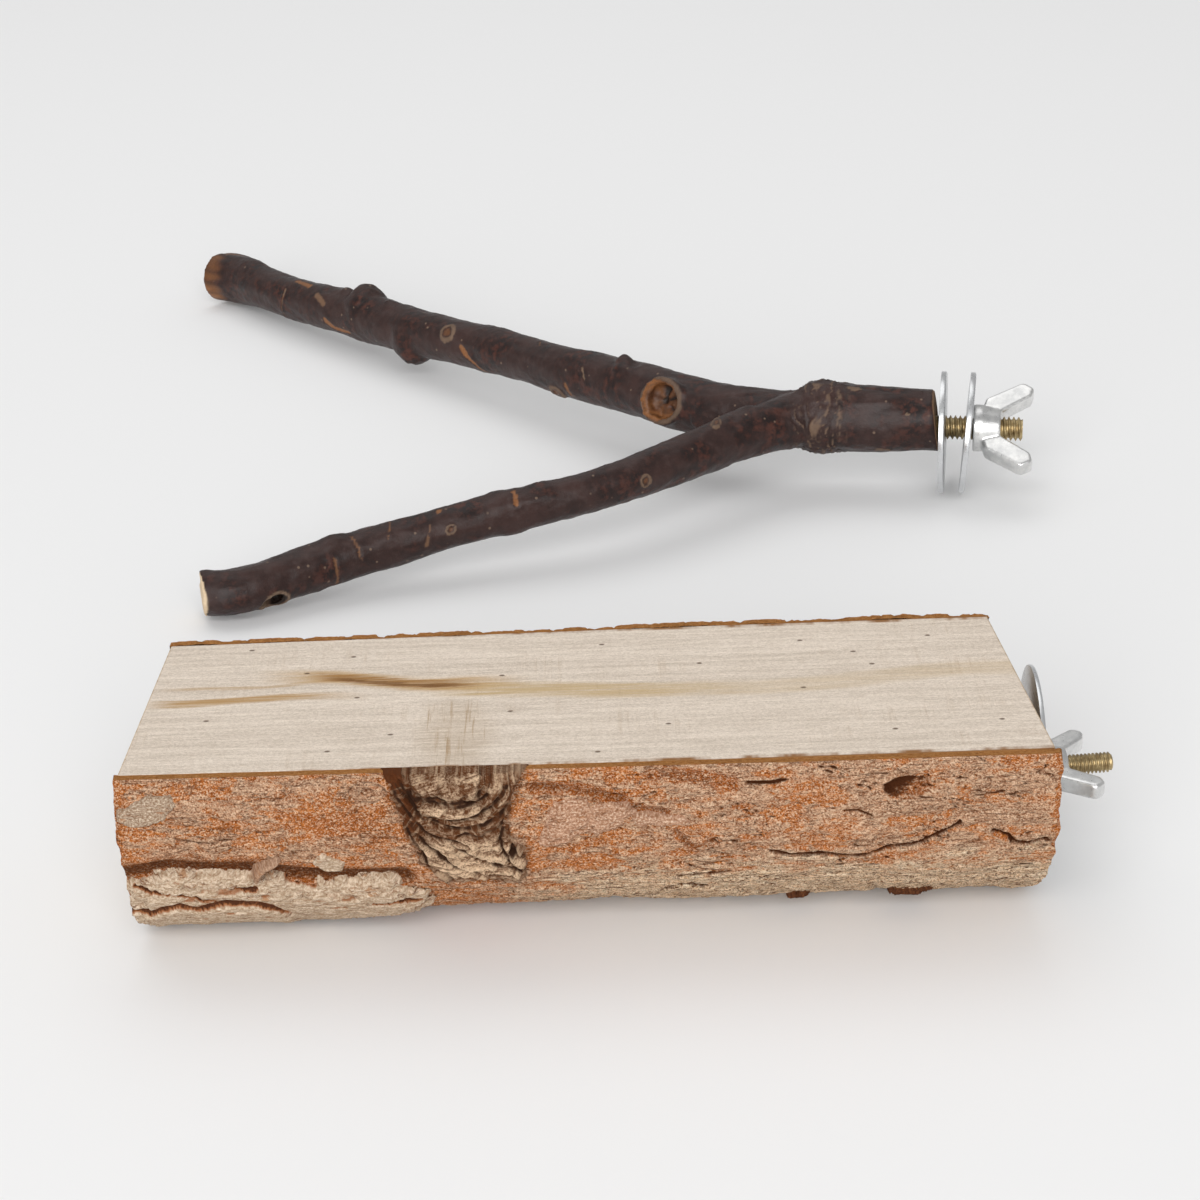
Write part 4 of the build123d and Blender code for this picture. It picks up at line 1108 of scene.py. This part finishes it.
branch.normal_update()
branch_mask = branch.verts.layers.float_color.new("branch_mask")
branch_cut = branch.verts.layers.float_color.new("branch_cut")
for vert in branch.verts:
    out = (vert.co - fork) / mm
    toward_clamp = out.dot(trunk_way)
    limb = 0 if out.dot(limb_ways[0]) > out.dot(limb_ways[1]) else 1
    way = limb_ways[limb]
    on_limb = toward_clamp <= -fork_depth
    if not on_limb:
        way = -trunk_way
        t, heart = -toward_clamp, trunk_way * toward_clamp
    else:
        t = max(0.0, out.dot(way))
        number = min(len(limb_hearts[limb]) - 2, int(t / slice_length))
        share = min(1.0, t / slice_length - number)
        heart = limb_hearts[limb][number].lerp(limb_hearts[limb][number + 1], share)
    side = Vector((0, 0, 1)).cross(way)
    spoke = out - heart
    round_angle = math.degrees(math.atan2(spoke.dot(side), spoke.z))
    radius = min(10.0, spoke.length)
    up = radius * math.cos(math.radians(round_angle))
    aside = radius * math.sin(math.radians(round_angle))
    lift = 0.45 * rumple(t * 0.07, up * 0.16, aside * 0.16 + limb * 9, 0.9, 2.0, 3)
    lift += 0.10 * noise.fractal(out * 0.35, 0.9, 2.0, 3) + 0.035 * noise.noise(out * 1.1)
    pale, orange, tan, dark_and_shade = 0.0, 0.0, 0.0, 0.0
    here = (t, round_angle, radius)
    own_limb = limb if on_limb else None
    # lumps, then scars with a low lip, then dead buds with a tan ring
    for lump_limb, lump_t, angle, reach, height in branch_lumps:
        if lump_limb == own_limb and abs(t - lump_t) < reach:
            off = math.hypot(*limb_gap(here, lump_t, angle)) / reach
            lift += height * ease(1.0, 0.1, off) * (1 + 0.35 * noise.noise(out * 0.7))
    for scar_limb, t0, angle0, t1, angle1, width, tint, depth in branch_scars:
        if scar_limb == own_limb and min(t0, t1) - 3 < t < max(t0, t1) + 3:
            scar_ends = limb_gap(here, t0, angle0), limb_gap(here, t1, angle1)
            off = line_distance(0, 0, scar_ends) + 0.3 * noise.noise(out * 1.3)
            cut = ease(width * 1.2, width * 0.4, off)
            lift -= depth * cut - 0.12 * ease(width * 3, width * 1.4, off)
            orange = max(orange, tint * cut)
            pale = max(pale, (1 - tint) * 0.25 * cut)
            tan = max(tan, (1 - tint) * cut)
    for bud_limb, bud_t, angle, reach in branch_buds:
        if bud_limb == own_limb and abs(t - bud_t) < 2 * reach:
            off = math.hypot(*limb_gap(here, bud_t, angle)) / reach + 0.15 * noise.noise(out * 0.9)
            lift += 0.35 * near(off, 0.95, 0.35) - 0.3 * ease(0.7, 0.2, off)
            tan = max(tan, near(off, 0.95, 0.4, 0.1))
            orange = max(orange, 0.45 * ease(0.9, 0.3, off))
    # the open knot: a collar, orange wood inside it and star-shaped checks in the wood, with painted shade in its
    # pit and checks
    if own_limb == knot_hole[0] and abs(t - knot_hole[1]) < 12:
        forth, round_by = limb_gap(here, *knot_hole[1:])
        off = math.hypot(forth, round_by) + 0.35 * noise.noise(out * 0.6)
        star = soft(math.atan2(round_by, forth) * 1.6, 3.0, off * 0.10)
        wood = ease(6.4, 5.8, off)
        lift += 0.45 * near(off, 6.2, 1.5) + wood * 0.4 * noise.fractal(out * 0.8, 0.9, 2.0, 3)
        orange = max(orange, wood * (0.38 + 0.4 * ease(3.6, 5.2, off) + 0.3 * star))
        tan = max(tan, 0.7 * near(off, 6.7, 1.2, 0.3))
        pit = wood * max(ease(1.6, 0.4, off), ease(0.08, 0.30, -star) * ease(5.0, 3.4, off))
        dark_and_shade = max(dark_and_shade, 0.9 * pit, 0.5 * near(off, 4.9, 0.7) * ease(-0.2, 0.4, star))
        lift -= 0.9 * pit
    # the hole of a lost twig near the tip of the near limb, painted dark as shade inside
    if own_limb == tip_hole[0] and abs(t - tip_hole[1]) < 7:
        off = math.hypot(*limb_gap(here, *tip_hole[1:])) + 0.2 * noise.noise(out)
        lift += 0.3 * near(off, 3.7, 1.2) - 0.9 * ease(3.2, 2.4, off)
        tan = max(tan, near(off, 3.7, 0.8, 0.2))
        pale = max(pale, 0.3 * near(off, 3.7, 0.5, 0.1))
        dark_and_shade = max(dark_and_shade, ease(3.4, 2.9, off))
    # the wrinkled collar at the fork with painted shade in its creases, and pale patches on the trunk
    wrinkled = ease(-12.0, -3.0, toward_clamp) * ease(11.0, 3.0, toward_clamp)
    if wrinkled > 0:
        wave = toward_clamp + 0.12 * out.z + 2.2 * noise.noise(out * 0.13) + 0.6 * noise.noise(out * 0.5)
        crease = rumple(wave * 1.25, round_angle * 0.018, 5.0, 0.7, 2.2, 4)
        worn = noise.fractal(out * 0.22, 0.8, 2.0, 3)
        lift += wrinkled * (0.42 * crease + 0.4)
        tan = max(tan, 0.85 * wrinkled * ease(-0.2, 0.7, crease + 0.3 * worn))
        dark_and_shade = max(dark_and_shade, 0.55 * wrinkled * ease(0.15, 0.5, -crease))
    for patch_way, angle, half_t, half_s in trunk_patches:
        if abs(toward_clamp - patch_way) < 2 * half_t:
            forth, round_by = limb_gap(here, -patch_way, angle)
            off = math.hypot(forth / half_t, round_by / half_s) + 0.5 * noise.noise(out * 0.8)
            tan = max(tan, ease(1.0, 0.5, off))
            lift += 0.2 * ease(1.0, 0.7, off)
    # sawn ends: a clean pale face on the near limb, a frayed brown one on the far limb
    cut_end = 0.0
    to_tip = limb_lengths[limb] - t
    if on_limb and to_tip < 14:
        cut_end = ease(0.6, 0.82, vert.normal.dot(way)) * ease(4, 2, to_tip)
        if limb == 0:
            pale = max(pale, cut_end)
            lift *= 1 - cut_end
            lift += cut_end * (0.4 * ease(70.0, 95.0, abs(round_angle)) + 0.12 * noise.noise(out * 0.9))
        else:
            fibres = soft(round_angle * 0.05, t * 0.05, 2.0)
            facing_low = ease(20.0, 95.0, abs(round_angle))
            frayed = ease(8.0, 1.5, to_tip - 3.0 * fibres - 2.0 * facing_low)
            orange = max(orange, (0.44 + 0.4 * fibres) * max(cut_end, frayed))
            orange = max(orange, 0.8 * ease(0.1, 0.4, fibres) * ease(13, 4, to_tip))
    # the trunk's own sawn end, which leans back at the top and keeps flat under the washer
    if toward_clamp > trunk_length - 2.5:
        cut_end = ease(0.4, 0.8, vert.normal.dot(trunk_way))
        orange = max(orange, 0.6 * cut_end)
        pale = max(pale, 0.35 * cut_end)
    if limb == 1 or not on_limb:
        lift *= 1 - 0.85 * cut_end
    lift *= ease(trunk_length + 0.2, trunk_length - 3.0, toward_clamp)
    moved = vert.normal * lift
    if toward_clamp > trunk_length - 6:
        top_lean = max(0.0, out.z + 7.5) / 16 * 1.9
        moved -= trunk_way * (top_lean * ease(trunk_length - 6, trunk_length, toward_clamp))
    vert[branch_mask] = (pale, orange, tan, dark_and_shade)
    vert[branch_cut] = (cut_end, 0.0, 0.0, 1.0)
    vert.co += moved * mm
    vert.co.z = max(vert.co.z, 0.0)
for face in branch.faces:
    face.smooth = True

branch_bark, branch_shader, tone = new_finish("branch_bark", roughness=0.5, specular=0.45, ior=1.36)
place = tone.place()
pale_share, orange_share, tan_share = tone.layer("branch_mask").parts()
dark_and_shade_share = tone.layer("branch_mask", 3)
cut_share = tone.layer("branch_cut").parts()[0]
clouds = place.noise(0.09, 4.0, 0.6)
mottle = place.noise(0.45, 4.0, 0.65)
fine = place.noise(2.4, 4.0, 0.7)
red_skin = clouds.step(0.55, 0.35) * mottle.step(0.42, 0.62)
pores = place.cells(0.27).step(0.125, 0.07) * place.cells(0.27, 1).parts()[0].step(0.3, 0.5)
skin = coated(
    clouds.step(0.32, 0.70).mixed((0.011, 0.006, 0.0055, 1), (0.042, 0.020, 0.0165, 1)),
    (mottle.step(0.50, 0.70) * 0.45, (0.055, 0.034, 0.030, 1)),
    (fine.step(0.55, 0.75) * 0.3, (0.085, 0.052, 0.043, 1)),
    (red_skin * 0.7, (0.075, 0.022, 0.013, 1)),
    (pores * 0.6, (0.20, 0.135, 0.095, 1)),
    (tan_share.step(0.15, 0.9) * (0.45 + mottle * 0.6), (0.165, 0.105, 0.068, 1)),
    (orange_share.step(0.1, 0.85), fine.mixed((0.10, 0.036, 0.012, 1), (0.31, 0.13, 0.046, 1))),
    (pale_share.step(0.1, 0.9), mottle.mixed((0.48, 0.34, 0.205, 1), (0.76, 0.615, 0.435, 1))),
    # painted shade in the knot's pit and checks, in the twig hole and in the collar's creases
    (dark_and_shade_share.step(0.1, 0.9), (0.018, 0.010, 0.007, 1)),
)
link(branch_shader, "Base Color", skin)
link(branch_shader, "Roughness", 0.26 + mottle * 0.24 + tan_share * 0.2 + cut_share * 0.3)
link_relief(branch_shader, mottle * 0.6 + fine * 0.5, 0.35, 0.0005)
finished_piece("branch_limbs", branch, branch_bark, "forked_branch", "branch_perch")

# Studio: a plain pale floor that fills the view, under two broad soft lights and a pale room.
# The camera stands in front of the log and looks down on it by some 25 degrees.
floor_mesh = bpy.data.meshes.new("studio_floor")
floor_bm = bmesh.new()
bmesh.ops.create_grid(floor_bm, x_segments=1, y_segments=1, size=6.0)
floor_bm.to_mesh(floor_mesh)
floor_bm.free()
floor = bpy.data.objects.new("studio_floor", floor_mesh)
bpy.context.scene.collection.objects.link(floor)
paper, paper_shader, _ = new_finish("studio_paper", roughness=0.85)
paper_shader.inputs["Base Color"].default_value = (0.85, 0.85, 0.85, 1)
floor_mesh.materials.append(paper)

room = bpy.data.worlds.new("studio_room")
room.use_nodes = True
room.node_tree.nodes["Background"].inputs["Color"].default_value = (1.0, 1.0, 1.0, 1)
room.node_tree.nodes["Background"].inputs["Strength"].default_value = 0.47
bpy.context.scene.world = room
for name, place, width, height, watts in (
    ("overhead_softbox", (-0.3, 0.6, 1.7), 1.8, 1.4, 7.6),
    ("front_softbox", (-0.4, -3.5, 1.75), 4.0, 3.2, 162.0),
):
    light = bpy.data.lights.new(name, "AREA")
    light.shape = "RECTANGLE"
    light.size = width
    light.size_y = height
    light.energy = watts
    lamp = bpy.data.objects.new(name, light)
    lamp.location = place
    lamp.rotation_mode = "QUATERNION"
    lamp.rotation_quaternion = (Vector((0, 0, 0)) - Vector(place)).to_track_quat("-Z", "Y")
    bpy.context.scene.collection.objects.link(lamp)

camera = bpy.data.cameras.new("photo_camera")
camera.lens = 86.8
camera.sensor_width = 36.0
viewer = bpy.data.objects.new("photo_camera", camera)
viewer.matrix_world = (
    Matrix.Translation(log_top + Vector((0.00297, -0.5159, 0.2605)))
    @ Matrix.Rotation(math.radians(-0.12), 4, "Z")
    @ Matrix.Rotation(math.radians(64.93), 4, "X")
    @ Matrix.Rotation(math.radians(-1.835), 4, "Z")
)
bpy.context.scene.collection.objects.link(viewer)
bpy.context.scene.camera = viewer
bpy.context.scene.view_settings.view_transform = "Standard"
